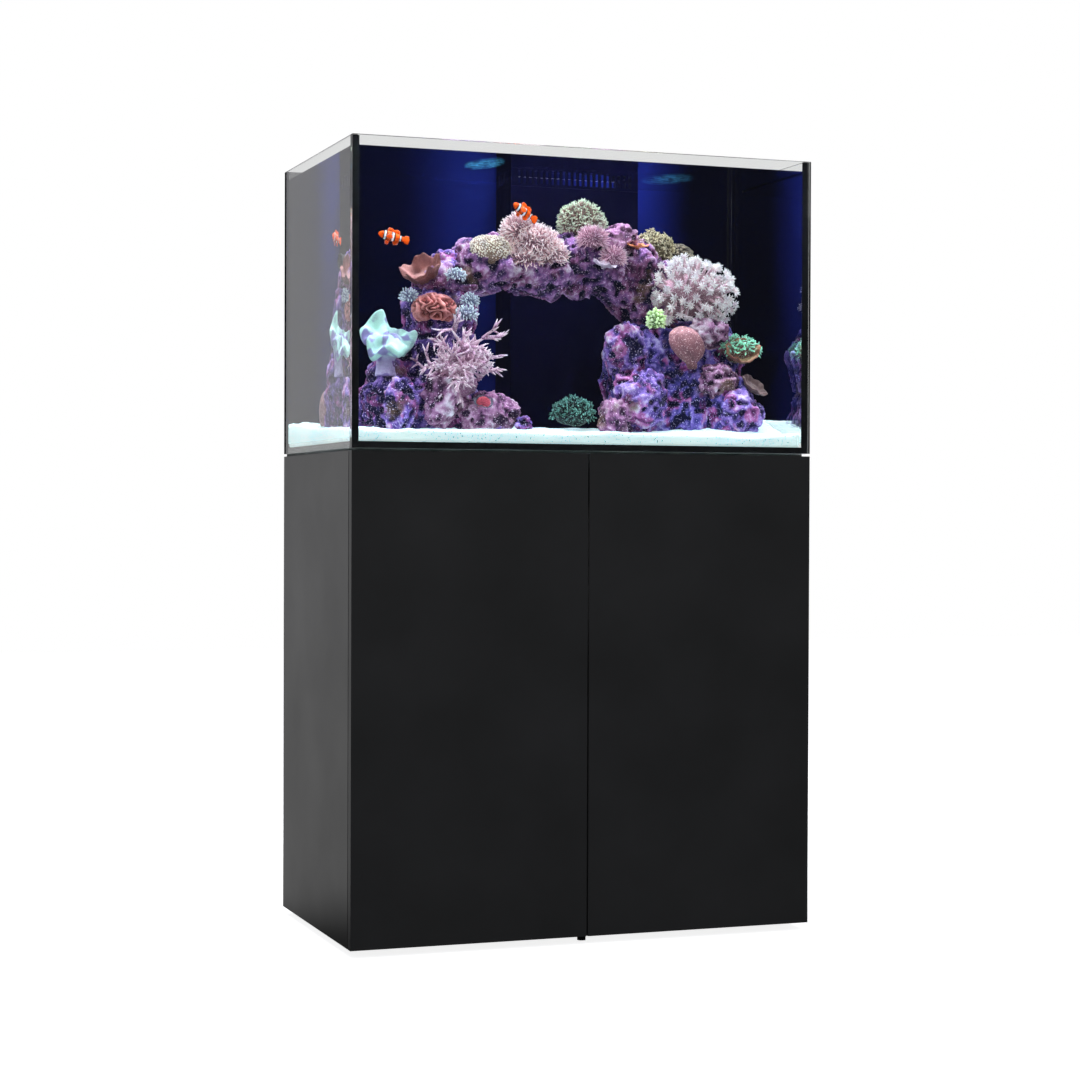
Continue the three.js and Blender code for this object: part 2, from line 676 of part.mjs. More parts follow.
// An uneven boulder: centre and half sizes in the reef's own frame (x, y from the middle, z from the floor).
function boulder([x, y, z, rx, ry, rz], seed, detail = 2) {
  const g = new THREE.IcosahedronGeometry(1, detail);
  const p = g.attributes.position;
  for (let i = 0; i < p.count; i += 1) {
    const dx = p.getX(i) * rx;
    const dy = p.getY(i) * ry;
    const dz = p.getZ(i) * rz;
    const swell = 1 + 0.13 * bump(dx + x, dy + y, dz + z, seed);
    p.setXYZ(i, x + dx * swell, y + dy * swell, z + dz * swell);
  }
  return solid(g);
}

// Moves a solid from the reef's frame into the tank.
function placed(piece) {
  return piece.scale(REEF_SCALE).translate([0, (PANE_FRONT + PANE_BACK) / 2, TANK_FLOOR]);
}

function sandLevel(x, y) {
  const back = Math.max(0, y - PANE_FRONT) / (PANE_BACK - PANE_FRONT);
  const ripple = 2.2 * Math.sin(x / 63) * Math.cos(y / 41) + 1.6 * Math.sin(x / 29 + y / 37);
  return TANK_FLOOR + SAND_FRONT + SAND_RISE * Math.pow(back, 1.3) + ripple;
}

// The sand's top surface raised by the lift, down to the depth given.
function sandBlock(lift, z0) {
  const x = PANE_SIDE - JOINT;
  const y0 = PANE_FRONT + GAP;
  const y1 = PANE_BACK - GAP;
  const g = new THREE.BoxGeometry(2 * x, y1 - y0, 1, 18, 9, 1);
  const p = g.attributes.position;
  for (let i = 0; i < p.count; i += 1) {
    const px = p.getX(i);
    const py = p.getY(i) + (y0 + y1) / 2;
    p.setXYZ(i, px, py, p.getZ(i) > 0 ? sandLevel(px, py) + lift : z0);
  }
  return solid(g);
}

function sandBed() {
  const bed = sandBlock(0, TANK_FLOOR + GAP);
  const keep = boxOutline(-0.6, 0, HEIGHT);
  const corners = [-1, 1].flatMap((sx) => [-1, 1].map((sy) => {
    const y = sy < 0 ? PANE_FRONT : PANE_BACK;
    return drum(sx * PANE_SIDE, y, 0, HEIGHT, 10, 8);
  }));
  return bed.subtract(keep).subtract(join(corners));
}

// What stands on the reef; each grows by the gap where the rock is cut to receive it.
function leatherCoral(grow = 0) {
  const g = 1 + grow;
  return boulder([-338, -15, 206, 50 * g, 42 * g, 31 * g], 2, 2)
    .add(boulder([-332, -14, 162, 20 * g, 20 * g, 36 * g], 5, 1));
}

function anemone(grow = 0) {
  const g = 1 + grow;
  return boulder([-50, -22, 385, 66 * g, 56 * g, 50 * g], 3, 2);
}

function bushCoral(grow = 0) {
  const g = 1 + grow;
  return boulder([272, -32, 296, 94 * g, 66 * g, 62 * g], 4, 2);
}

// Rock is cut flat to the sand it stands on and kept clear of the overflow box.
function rock(shapes, seed) {
  const whole = placed(join(shapes.map((shape, i) => boulder(shape, seed + i))));
  const ground = sandBlock(0.4, 0);
  const clear = boxOutline(-4, 0, 2 * HEIGHT);
  const corals = [leatherCoral, anemone, bushCoral].map((coral) => placed(coral(0.012)));
  return largest(corals.reduce((left, coral) => left.subtract(coral), whole.subtract(ground).subtract(clear)));
}

function largest(piece) {
  return piece.decompose().sort((a, b) => b.volume() - a.volume())[0];
}

const SEAT_LEFT = 292;
const SEAT_RIGHT = 240;
const SEAT_MIDDLE = -95;

// The zones that divide the arch into three rocks, in the reef's frame.
function leftZone(gap) {
  return block(-WIDTH, SEAT_MIDDLE - gap, -WIDTH, WIDTH, -WIDTH, SEAT_LEFT - gap);
}

function rightZone(gap) {
  return block(95 + gap, WIDTH, -WIDTH, WIDTH, -WIDTH, SEAT_RIGHT - gap);
}

function rockLeft() {
  const shapes = [
    [-332, -30, 62, 66, 74, 78], [-332, -20, 110, 46, 50, 56], [-250, -16, 70, 88, 90, 84],
    [-168, -56, 36, 70, 70, 50], [-252, 6, 160, 72, 66, 88], [-232, 4, 246, 74, 64, 80],
  ];
  return rock(shapes, 1).intersect(placed(leftZone(0)));
}

function rockBridge() {
  const shapes = [
    [-212, 0, 300, 70, 58, 44], [-128, 2, 340, 82, 62, 56], [-36, 4, 330, 84, 62, 50],
    [56, 10, 352, 84, 60, 66], [140, 16, 336, 86, 64, 74], [198, 10, 296, 74, 58, 70],
  ];
  return largest(rock(shapes, 11).subtract(placed(leftZone(-0.5))).subtract(placed(rightZone(-0.5))));
}

function rockRight() {
  const shapes = [
    [120, -44, 34, 64, 56, 44], [176, -4, 128, 78, 70, 112], [262, -26, 84, 92, 80, 90],
    [336, -66, 66, 62, 78, 78], [328, -14, 166, 60, 62, 74], [248, 8, 206, 86, 62, 70],
  ];
  return rock(shapes, 21).intersect(placed(rightZone(0)));
}

// A clownfish as a plain streamlined solid with a tail and back and belly fins.
function clownfish(x, y, z, heading, tilt) {
  const body = solid(new THREE.SphereGeometry(1, 12, 8)).scale([25, 6.5, 12]);
  const tail = finPlate([[-20, 0], [-33, 9], [-35, 0], [-33, -9]]);
  const back = finPlate([[-16, 6], [-12, 15], [8, 16], [13, 8]]);
  const belly = finPlate([[-14, -6], [-13, -15], [-4, -13], [0, -9]]);
  return join([body, tail, back, belly]).rotate([0, tilt, 0]).rotate([0, 0, heading]).translate([x, y, z]);
}

function finPlate(outline) {
  const shape = new THREE.Shape(outline.map(([x, z]) => new THREE.Vector2(x, z)));
  const g = new THREE.ExtrudeGeometry(shape, { depth: 1.6, bevelEnabled: false });
  g.translate(0, 0, -0.8);
  g.rotateX(Math.PI / 2);
  return solid(g);
}

function fishLeft() {
  return placed(clownfish(-324, -15, 384, 180, -12));
}

function fishRight() {
  return placed(clownfish(-80, -62, 438, 160, -26));
}

// Materials

function plain(color, roughness, metalness = 0) {
  return new THREE.MeshStandardMaterial({ color, roughness, metalness });
}

function blackBoard() {
  return plain(0x1f1f20, 0.45);
}

function steel() {
  return plain(0xb9bcc0, 0.3, 1);
}

function blackPlastic() {
  return plain(0x16171a, 0.5);
}

function greyPvc() {
  return plain(0x6d7278, 0.5);
}

function clearGlass() {
  const m = plain(0xdfe9ea, 0.05);
  m.transparent = true;
  m.opacity = 0.3;
  return m;
}

function backPaintedGlass() {
  return plain(0x0c0f2c, 0.15);
}

function acrylic() {
  const m = plain(0xc8d4dc, 0.1);
  m.transparent = true;
  m.opacity = 0.5;
  return m;
}

function liveRock() {
  return plain(0x6a5f86, 0.9);
}

// Assembly

function mesh(name, piece, material) {
  const m = piece.getMesh();
  const g = new THREE.BufferGeometry();
  g.setAttribute('position', new THREE.Float32BufferAttribute(Array.from(m.vertProperties), 3));
  g.setIndex(Array.from(m.triVerts));
  g.computeVertexNormals();
  const node = new THREE.Mesh(g, material);
  node.name = name;
  return node;
}

function cabinetNodes() {
  const nodes = [
    mesh('side_panel_left', sidePanel(-1), blackBoard()),
    mesh('side_panel_right', sidePanel(1), blackBoard()),
    mesh('base_panel', basePanel(), blackBoard()),
    mesh('top_panel', topPanel(), blackBoard()),
    mesh('back_panel', backPanel(), blackBoard()),
    mesh('front_rail', frontRail(), blackBoard()),
    mesh('left_door', door(-1), blackBoard()),
    mesh('right_door', door(1), blackBoard()),
    mesh('left_latch_housing', latchHousing(-1), blackPlastic()),
    mesh('right_latch_housing', latchHousing(1), blackPlastic()),
    mesh('left_latch_plunger', latchPlunger(-1), greyPvc()),
    mesh('right_latch_plunger', latchPlunger(1), greyPvc()),
  ];
  for (const [name, spot] of Object.entries(footSpots())) nodes.push(mesh(name, foot(spot), blackPlastic()));
  const [low, high] = hingeLevels();
  for (const [hand, side] of [['left', -1], ['right', 1]]) {
    for (const [place, z] of [['lower', low], ['upper', high]]) {
      nodes.push(mesh(`${hand}_${place}_hinge_arm`, hingeArm(side, z), steel()));
      nodes.push(mesh(`${hand}_${place}_hinge_cup`, hingeCup(side, z), steel()));
    }
  }
  return nodes;
}

function tankNodes() {
  return [
    mesh('foam_mat', foamMat(), plain(0x2a2b2d, 0.95)),
    mesh('tank_bottom_glass', bottomGlass(), clearGlass()),
    mesh('tank_front_glass', frontGlass(), clearGlass()),
    mesh('tank_rear_glass', rearGlass(), backPaintedGlass()),
    mesh('tank_left_glass', sideGlass(-1), clearGlass()),
    mesh('tank_right_glass', sideGlass(1), clearGlass()),
    mesh('seam_silicone', seamSilicone(), plain(0x1b1b1c, 0.6)),
  ];
}

function plumbingNodes() {
  return [
    mesh('weir_box', weirBox(), blackPlastic()),
    mesh('weir_comb', weirComb(), blackPlastic()),
    mesh('drain_bulkhead', bulkhead(DRAIN_X, DRAIN_RADIUS), greyPvc()),
    mesh('return_bulkhead', bulkhead(RETURN_X, RETURN_RADIUS), greyPvc()),
    mesh('drain_standpipe', drainStandpipe(), greyPvc()),
    mesh('return_riser', returnRiser(), greyPvc()),
    mesh('return_nozzle', returnNozzle(), blackPlastic()),
    mesh('drain_pipe_upper', drainPipeUpper(), greyPvc()),
    mesh('gate_valve_body', gateValve(), greyPvc()),
    mesh('valve_handwheel', valveHandwheel(), plain(0xa32018, 0.4)),
    mesh('drain_pipe_lower', drainPipeLower(), greyPvc()),
    mesh('return_pipe', returnPipe(), greyPvc()),
  ];
}

function sumpNodes() {
  return [
    mesh('sump_tank', sumpTank(), clearGlass()),
    mesh('sump_baffle', sumpBaffle(BAFFLE_X, 60, SHELF_Z + 20), clearGlass()),
    mesh('sock_shelf', sockShelf(), acrylic()),
    mesh('filter_sock', filterSock(), plain(0xe9e9e4, 0.95)),
    mesh('return_pump', returnPump(), blackPlastic()),
    mesh('skimmer_body', skimmerBody(), acrylic()),
    mesh('skimmer_cup', skimmerCup(), acrylic()),
  ];
}

function reefNodes() {
  return [
    mesh('sand_bed', sandBed(), plain(0xe8e6df, 0.95)),
    mesh('rock_left', rockLeft(), liveRock()),
    mesh('rock_bridge', rockBridge(), liveRock()),
    mesh('rock_right', rockRight(), liveRock()),
    mesh('leather_coral', placed(leatherCoral()), plain(0xbfe8d8, 0.8)),
    mesh('anemone', placed(anemone()), plain(0xe8cfd6, 0.8)),
    mesh('bush_coral', placed(bushCoral()), plain(0xd9ecdf, 0.8)),
    mesh('clownfish_left', fishLeft(), plain(0xf2731c, 0.4)),
    mesh('clownfish_right', fishRight(), plain(0xf2731c, 0.4)),
  ];
}

const aquarium = new THREE.Group();
aquarium.name = 'aquarium_on_stand';
aquarium.add(...cabinetNodes(), ...tankNodes(), ...plumbingNodes(), ...sumpNodes(), ...reefNodes());
export default aquarium;
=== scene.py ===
import math

import bpy
import numpy as np
from mathutils import Matrix, Vector


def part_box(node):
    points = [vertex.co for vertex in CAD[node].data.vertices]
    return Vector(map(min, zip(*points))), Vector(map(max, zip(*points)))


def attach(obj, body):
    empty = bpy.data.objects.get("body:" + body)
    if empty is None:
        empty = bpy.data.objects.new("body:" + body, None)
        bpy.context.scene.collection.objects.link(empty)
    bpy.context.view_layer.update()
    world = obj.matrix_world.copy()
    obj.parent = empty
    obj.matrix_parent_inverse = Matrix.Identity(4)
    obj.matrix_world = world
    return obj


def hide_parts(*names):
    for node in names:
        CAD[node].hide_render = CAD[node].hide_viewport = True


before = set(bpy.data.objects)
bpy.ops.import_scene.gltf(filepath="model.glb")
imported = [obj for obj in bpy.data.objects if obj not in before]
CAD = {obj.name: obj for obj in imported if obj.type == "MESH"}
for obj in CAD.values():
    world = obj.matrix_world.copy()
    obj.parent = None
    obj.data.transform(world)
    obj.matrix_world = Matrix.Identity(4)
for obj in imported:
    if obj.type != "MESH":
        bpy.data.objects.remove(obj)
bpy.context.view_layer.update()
ROOT = "cabinet_and_tank"


# ---------------------------------------------------------------- camera
# A long lens in front of the tank and to its left, a little below the top of the cabinet.

YAW, PITCH, ROLL = math.radians(-20.079), math.radians(0.594), math.radians(0.207)
camera = bpy.data.objects.new("camera", bpy.data.cameras.new("camera"))
bpy.context.collection.objects.link(camera)
camera.data.lens = 76.61
camera.data.sensor_width = 36.0
forward = Vector((-math.sin(YAW) * math.cos(PITCH), math.cos(YAW) * math.cos(PITCH), -math.sin(PITCH)))
level = Vector((math.cos(YAW), math.sin(YAW), 0.0))
upward = level.cross(forward)
across = math.cos(ROLL) * level + math.sin(ROLL) * upward
upright = math.cos(ROLL) * upward - math.sin(ROLL) * level
camera.matrix_world = Matrix((
    (across.x, upright.x, -forward.x, -1.5312),
    (across.y, upright.y, -forward.y, -4.1784),
    (across.z, upright.z, -forward.z, 0.7857),
    (0, 0, 0, 1),
))
bpy.context.scene.camera = camera
bpy.context.scene.view_settings.view_transform = "Standard"


# ---------------------------------------------------------------- studio
# A white floor and a white surround; what the glass and the black boards mirror is bright behind the
# tank and dim in front of it.

def material(name):
    """A new material with only a Principled shader; returns the material, its tree and that shader."""
    made = bpy.data.materials.new(name)
    made.use_nodes = True
    tree = made.node_tree
    tree.nodes.clear()
    out = tree.nodes.new("ShaderNodeOutputMaterial")
    shader = tree.nodes.new("ShaderNodeBsdfPrincipled")
    tree.links.new(shader.outputs[0], out.inputs[0])
    return made, tree, shader


def area_light(name, place, target, width, depth, power, colour):
    """A soft rectangular light at place, facing target, that the camera doesn't see."""
    data = bpy.data.lights.new(name, "AREA")
    data.shape = "RECTANGLE"
    data.size, data.size_y = width, depth
    data.energy = power
    data.color = colour
    lamp = bpy.data.objects.new(name, data)
    lamp.location = place
    lamp.rotation_euler = (Vector(target) - Vector(place)).to_track_quat("-Z", "Y").to_euler()
    lamp.visible_camera = False
    bpy.context.collection.objects.link(lamp)
    return lamp


def link_ramp(tree, value, stops, smooth=False):
    """A colour ramp through (position, (r, g, b)) stops; returns its colour socket."""
    ramp = tree.nodes.new("ShaderNodeValToRGB")
    ramp.color_ramp.interpolation = "EASE" if smooth else "LINEAR"
    while len(ramp.color_ramp.elements) < len(stops):
        ramp.color_ramp.elements.new(0.5)
    for element, (position, colour) in zip(ramp.color_ramp.elements, stops):
        element.position = position
        element.color = (*colour, 1)
    tree.links.new(value, ramp.inputs[0])
    return ramp.outputs[0]


def link_mix(tree, fac, a, b, how="MIX"):
    """Mixes two colours, each a socket or an (r, g, b); fac is a socket or a number."""
    mix = tree.nodes.new("ShaderNodeMix")
    mix.data_type = "RGBA"
    mix.blend_type = how
    for socket, value in ((mix.inputs[0], fac), (mix.inputs[6], a), (mix.inputs[7], b)):
        if isinstance(value, bpy.types.NodeSocket):
            tree.links.new(value, socket)
        elif isinstance(value, (int, float)):
            socket.default_value = value
        else:
            socket.default_value = (*value, 1)
    return mix.outputs[2]


def link_axis(tree, letter):
    """The object coordinate along X, Y or Z."""
    spot = tree.nodes.new("ShaderNodeTexCoord")
    axes = tree.nodes.new("ShaderNodeSeparateXYZ")
    tree.links.new(spot.outputs["Object"], axes.inputs[0])
    return axes.outputs[letter]


def link_shaders(tree, fac, a, b):
    """Mixes shaders a and b by fac and sends the result to the tree's output."""
    mix = tree.nodes.new("ShaderNodeMixShader")
    for value, socket in zip((fac, a, b), mix.inputs):
        tree.links.new(value, socket)
    out = [n for n in tree.nodes if n.type.startswith("OUTPUT")][0]
    tree.links.new(mix.outputs[0], out.inputs[0])


DIM_FRONT = (0.03, 0.03, 0.033)
world = bpy.data.worlds.new("studio")
bpy.context.scene.world = world
world.use_nodes = True
sky = world.node_tree
sky.nodes.clear()
sky.nodes.new("ShaderNodeOutputWorld")
sky_light = sky.nodes.new("ShaderNodeBackground")
sky_seen = sky.nodes.new("ShaderNodeBackground")
sky_seen.inputs["Color"].default_value = (1.0, 1.0, 1.0, 1)
sky_path = sky.nodes.new("ShaderNodeLightPath")
sky_way = sky.nodes.new("ShaderNodeTexCoord")
sky_split = sky.nodes.new("ShaderNodeSeparateXYZ")
sky.links.new(sky_way.outputs["Generated"], sky_split.inputs[0])
sky_mirrored = link_ramp(sky, sky_split.outputs["Y"], [(0.0, DIM_FRONT), (0.45, (0.54, 0.54, 0.55))])
sky_through = link_ramp(sky, sky_split.outputs["Y"], [(0.0, DIM_FRONT), (0.45, (0.80, 0.80, 0.80))])
sky_shade = link_mix(sky, sky_path.outputs["Is Diffuse Ray"], sky_mirrored, (0.16, 0.17, 0.19))
sky_shade = link_mix(sky, sky_path.outputs["Is Transmission Ray"], sky_shade, sky_through)
sky.links.new(sky_shade, sky_light.inputs["Color"])
link_shaders(sky, sky_path.outputs["Is Camera Ray"], sky_light.outputs[0], sky_seen.outputs[0])

floor_mesh = bpy.data.meshes.new("studio_floor")
floor_mesh.from_pydata([(-9, -9, 0), (9, -9, 0), (9, 9, 0), (-9, 9, 0)], [], [(0, 1, 2, 3)])
floor = bpy.data.objects.new("studio_floor", floor_mesh)
bpy.context.collection.objects.link(floor)
floor_paint, floor_tree, floor_shader = material("studio_floor_white")
floor_shader.inputs["Base Color"].default_value = (0.93, 0.93, 0.93, 1)
floor_shader.inputs["Roughness"].default_value = 0.9
floor_shader.inputs["Emission Color"].default_value = (1.0, 1.0, 1.0, 1)
floor_shader.inputs["Emission Strength"].default_value = 0.86
floor_grey = floor_tree.nodes.new("ShaderNodeEmission")
floor_shade = link_ramp(floor_tree, link_axis(floor_tree, "Y"), [(0.0, (0.03,) * 3), (0.5, (0.48,) * 3)])
floor_tree.links.new(floor_shade, floor_grey.inputs["Color"])
floor_path = floor_tree.nodes.new("ShaderNodeLightPath")
link_shaders(floor_tree, floor_path.outputs["Is Camera Ray"], floor_grey.outputs[0], floor_shader.outputs[0])
floor_mesh.materials.append(floor_paint)
area_light("tank_light", (0.0, -0.10, 2.05), (0.0, 0.0, 1.1), 0.60, 0.22, 42, (0.82, 0.90, 1.0))
area_light("front_fill", (-1.4, -3.4, 2.7), (0.0, 0.0, 1.1), 2.6, 1.8, 14, (1.0, 1.0, 1.0))
area_light("floor_wash", (0.0, 0.4, 5.0), (0.0, 0.4, 0.0), 5.0, 5.0, 110, (1.0, 1.0, 1.0))


# ---------------------------------------------------------------- cabinet boards
# 18 mm board faced with black satin laminate: two sides, base, top, back with its cut-out, and a rail
# under the top. They are screwed and glued together.

def link_noise(tree, scale, detail=4.0, rough=0.5, stretch=(1, 1, 1)):
    """A noise texture on object coordinates, stretched along the axes; returns its value socket."""
    spot = tree.nodes.new("ShaderNodeTexCoord")
    moved = tree.nodes.new("ShaderNodeMapping")
    moved.inputs["Scale"].default_value = stretch
    noise = tree.nodes.new("ShaderNodeTexNoise")
    noise.inputs["Scale"].default_value = scale
    noise.inputs["Detail"].default_value = detail
    noise.inputs["Roughness"].default_value = rough
    tree.links.new(spot.outputs["Object"], moved.inputs[0])
    tree.links.new(moved.outputs[0], noise.inputs["Vector"])
    return noise.outputs["Fac"]


def link_bump(tree, shader, height, distance, strength=1.0):
    """Bumps of that height, in metres, on the shader's normal."""
    bump = tree.nodes.new("ShaderNodeBump")
    bump.inputs["Distance"].default_value = distance
    bump.inputs["Strength"].default_value = strength
    tree.links.new(height, bump.inputs["Height"])
    tree.links.new(bump.outputs[0], shader.inputs["Normal"])


def coat(names, made, edge=0.0):
    """Gives CAD nodes a material, and rounds their sharp edges by edge metres."""
    for name in names:
        node = CAD[name]
        node.data.materials.clear()
        node.data.materials.append(made)
        if edge:
            bevel = node.modifiers.new("edge", "BEVEL")
            bevel.width = edge
            bevel.segments = 2
            bevel.limit_method = "ANGLE"
            bevel.angle_limit = math.radians(50)


def laminate(name, tone, rough, shine_level):
    """Black laminate: a fine pressed grain, faint cloudiness in its sheen and a few rubbed spots."""
    made, tree, shader = material(name)
    cloud = link_noise(tree, 5, 3)
    grain = link_noise(tree, 900, 2, stretch=(1, 1, 0.25))
    shade = link_ramp(tree, cloud, [(0.3, (tone, tone, tone)), (0.75, (tone * 1.3, tone * 1.3, tone * 1.33))])
    shine = link_ramp(tree, cloud, [(0.3, (rough,) * 3), (0.7, (rough + 0.07,) * 3)])
    tree.links.new(shade, shader.inputs["Base Color"])
    tree.links.new(shine, shader.inputs["Roughness"])
    shader.inputs["Specular IOR Level"].default_value = shine_level
    link_bump(tree, shader, grain, 0.00006, 0.6)
    return made


board = laminate("cabinet_board", 0.020, 0.34, 0.5)
coat(["side_panel_left", "side_panel_right", "top_panel", "base_panel"], board, 0.0008)
coat(["back_panel", "front_rail"], board, 0.0006)


# ---------------------------------------------------------------- doors
# Two flat 18 mm doors over the whole front, edged all round, with nothing on their faces.

# The doors' laminate is the boards' black laminate painted paler, 0.055 against 0.020: painted light on the
# dim front.
door_face_painted_light = laminate("door_laminate_painted_light", 0.055, 0.42, 0.4)
coat(["left_door", "right_door"], door_face_painted_light, 0.001)


# ---------------------------------------------------------------- hinges and latches
# Nickel-plated concealed hinges, two a door, and a push latch for each door under the rail.

def plated(name, colour, rough):
    """Plated metal with fine brushed streaks and duller patches."""
    made, tree, shader = material(name)
    shader.inputs["Metallic"].default_value = 1.0
    streak = link_noise(tree, 300, 3, stretch=(1, 0.1, 1))
    patch = link_noise(tree, 60, 4)
    shade = link_ramp(tree, patch, [(0.3, tuple(c * 0.8 for c in colour)), (0.7, colour)])
    shine = link_ramp(tree, streak, [(0.3, (rough,) * 3), (0.7, (rough + 0.15,) * 3)])
    tree.links.new(shade, shader.inputs["Base Color"])
    tree.links.new(shine, shader.inputs["Roughness"])
    link_bump(tree, shader, streak, 0.00004)
    return made


def plastic(name, colour, rough=0.4):
    """Moulded plastic with a fine spark-eroded grain and slight fading."""
    made, tree, shader = material(name)
    fade = link_noise(tree, 25, 3)
    grain = link_noise(tree, 1400, 2)
    bright = tuple(min(1.0, c * 1.25 + 0.001) for c in colour)
    tree.links.new(link_ramp(tree, fade, [(0.3, colour), (0.75, bright)]), shader.inputs["Base Color"])
    shine = link_ramp(tree, fade, [(0.3, (rough,) * 3), (0.7, (rough + 0.12,) * 3)])
    tree.links.new(shine, shader.inputs["Roughness"])
    link_bump(tree, shader, grain, 0.00005, 0.5)
    return made


nickel = plated("hinge_nickel", (0.66, 0.66, 0.67), 0.22)
coat([n for n in CAD if n.endswith("hinge_arm") or n.endswith("hinge_cup")], nickel, 0.0006)
black_plastic = plastic("black_plastic", (0.012, 0.012, 0.014))
grey_plastic = plastic("grey_plastic", (0.11, 0.12, 0.13))
coat(["left_latch_housing", "right_latch_housing"], black_plastic, 0.001)
coat(["left_latch_plunger", "right_latch_plunger"], grey_plastic, 0.0006)


# ---------------------------------------------------------------- feet
# Black plastic levelling feet on threaded stems in the base panel.

coat([n for n in CAD if n.startswith("foot_")], black_plastic, 0.0005)


# ---------------------------------------------------------------- mat
# Closed-cell foam under the bottom pane, which evens out the load.

foam, foam_tree, foam_shader = material("mat_foam")
foam_cells = link_noise(foam_tree, 700, 3)
foam_wear = link_noise(foam_tree, 30, 3)
foam_shade = link_ramp(foam_tree, foam_wear, [(0.3, (0.070, 0.076, 0.072)), (0.75, (0.13, 0.14, 0.13))])
foam_tree.links.new(foam_shade, foam_shader.inputs["Base Color"])
foam_shader.inputs["Roughness"].default_value = 0.95
link_bump(foam_tree, foam_shader, foam_cells, 0.0003)
coat(["foam_mat"], foam)


# ---------------------------------------------------------------- glass
# Clear 12 mm panes with polished edges; the rear pane is painted blue-black on its back, and so are the
# rear ends of the side panes. Inside, the rear paint carries two brighter blue bands and glows, painted
# light; the strips on the side panes' ends are painted shade.

def link_math(tree, how, a, b):
    """Adds, multiplies or compares two values, each a socket or a number."""
    node = tree.nodes.new("ShaderNodeMath")
    node.operation = how
    for value, socket in zip((a, b), node.inputs):
        if isinstance(value, bpy.types.NodeSocket):
            tree.links.new(value, socket)
        else:
            socket.default_value = value
    return node.outputs[0]


def principled(made):
    """A material's Principled shader."""
    return [n for n in made.node_tree.nodes if n.type == "BSDF_PRINCIPLED"][0]


def clear(name, tint, ior, rough=0.0):
    """A clear refracting material that lets the light's shadow rays straight through."""
    made, tree, shader = material(name)
    shader.inputs["Base Color"].default_value = (*tint, 1)
    shader.inputs["Transmission Weight"].default_value = 1.0
    shader.inputs["Roughness"].default_value = rough
    shader.inputs["IOR"].default_value = ior
    passing = tree.nodes.new("ShaderNodeBsdfTransparent")
    passing.inputs[0].default_value = (*tint, 1)
    path = tree.nodes.new("ShaderNodeLightPath")
    link_shaders(tree, path.outputs["Is Shadow Ray"], shader.outputs[0], passing.outputs[0])
    return made


pane_glass = clear("clear_glass", (0.985, 0.995, 0.99), 1.5)
coat(["tank_front_glass", "tank_left_glass", "tank_right_glass", "tank_bottom_glass"], pane_glass, 0.0008)


def grid_faces(rows, columns, wrap_rows=False, wrap_columns=False):
    """Quads of a grid of points stored row by row, optionally joined round either way."""
    r = np.arange(rows if wrap_rows else rows - 1)
    c = np.arange(columns if wrap_columns else columns - 1)
    rr, cc = np.meshgrid(r, c, indexing="ij")
    r2, c2 = (rr + 1) % rows, (cc + 1) % columns
    quads = np.stack([rr * columns + cc, rr * columns + c2, r2 * columns + c2, r2 * columns + cc], -1)
    return quads.reshape(-1, 4)


def piece(name, points, faces, made, body=ROOT, smooth=True, tip=None):
    """A mesh object from points and faces, in the row frame, that rides on a CAD body. Faces are an array,
    or a list of arrays with different numbers of corners. tip is a value per point for the material."""
    mesh = bpy.data.meshes.new(name)
    faces = faces if isinstance(faces, list) else [faces]
    corners = np.concatenate([f.reshape(-1) for f in faces]).astype(np.int32)
    counts = np.concatenate([np.full(len(f), f.shape[1]) for f in faces]).astype(np.int32)
    mesh.vertices.add(len(points))
    mesh.vertices.foreach_set("co", np.asarray(points, np.float32).reshape(-1))
    mesh.loops.add(len(corners))
    mesh.loops.foreach_set("vertex_index", corners)
    mesh.polygons.add(len(counts))
    mesh.polygons.foreach_set("loop_start", np.concatenate([[0], np.cumsum(counts)[:-1]]).astype(np.int32))
    mesh.polygons.foreach_set("use_smooth", np.full(len(counts), smooth))
    if tip is not None:
        layer = mesh.attributes.new("tip", "FLOAT", "POINT")
        layer.data.foreach_set("value", np.asarray(tip, np.float32))
    mesh.update(calc_edges=True)
    mesh.validate()
    mesh.materials.append(made)
    made_object = bpy.data.objects.new(name, mesh)
    bpy.context.collection.objects.link(made_object)
    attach(made_object, body)
    return made_object


def prism(outline, low, high):
    """Points and faces of an upright prism over an anticlockwise (x, y) outline."""
    n = len(outline)
    points = [(x, y, low) for x, y in outline] + [(x, y, high) for x, y in outline]
    sides = np.array([(i, (i + 1) % n, n + (i + 1) % n, n + i) for i in range(n)])
    ends = np.array([list(range(n))[::-1], list(range(n, 2 * n))])
    return points, [sides, ends]


back_paint, back_tree, back_shader = material("back_painted_glass")
# Painted light: two broad brighter blue bands across the inside of the paint, and the whole paint glows at
# 0.55; seen from outside it is an even blue-black.
rear_pane_painted_glow = link_ramp(back_tree, link_math(back_tree, "ADD", link_axis(back_tree, "X"), 0.5), [
    (0.06, (0.0003, 0.0004, 0.0022)), (0.24, (0.0004, 0.0006, 0.0040)), (0.40, (0.0020, 0.0036, 0.032)),
    (0.52, (0.0008, 0.0010, 0.009)), (0.70, (0.0036, 0.0064, 0.062)), (0.86, (0.0003, 0.0004, 0.002)),
], True)
back_outside = link_ramp(back_tree, link_axis(back_tree, "Y"), [(0.2490, (0, 0, 0)), (0.2495, (1, 1, 1))])
rear_pane_painted_glow = link_mix(back_tree, back_outside, rear_pane_painted_glow, (0.0014, 0.0016, 0.006))
back_tree.links.new(rear_pane_painted_glow, back_shader.inputs["Base Color"])
back_tree.links.new(rear_pane_painted_glow, back_shader.inputs["Emission Color"])
back_shader.inputs["Emission Strength"].default_value = 0.55
back_shader.inputs["Roughness"].default_value = 0.5
back_shader.inputs["Specular IOR Level"].default_value = 0.0
coat(["tank_rear_glass"], back_paint, 0.0008)

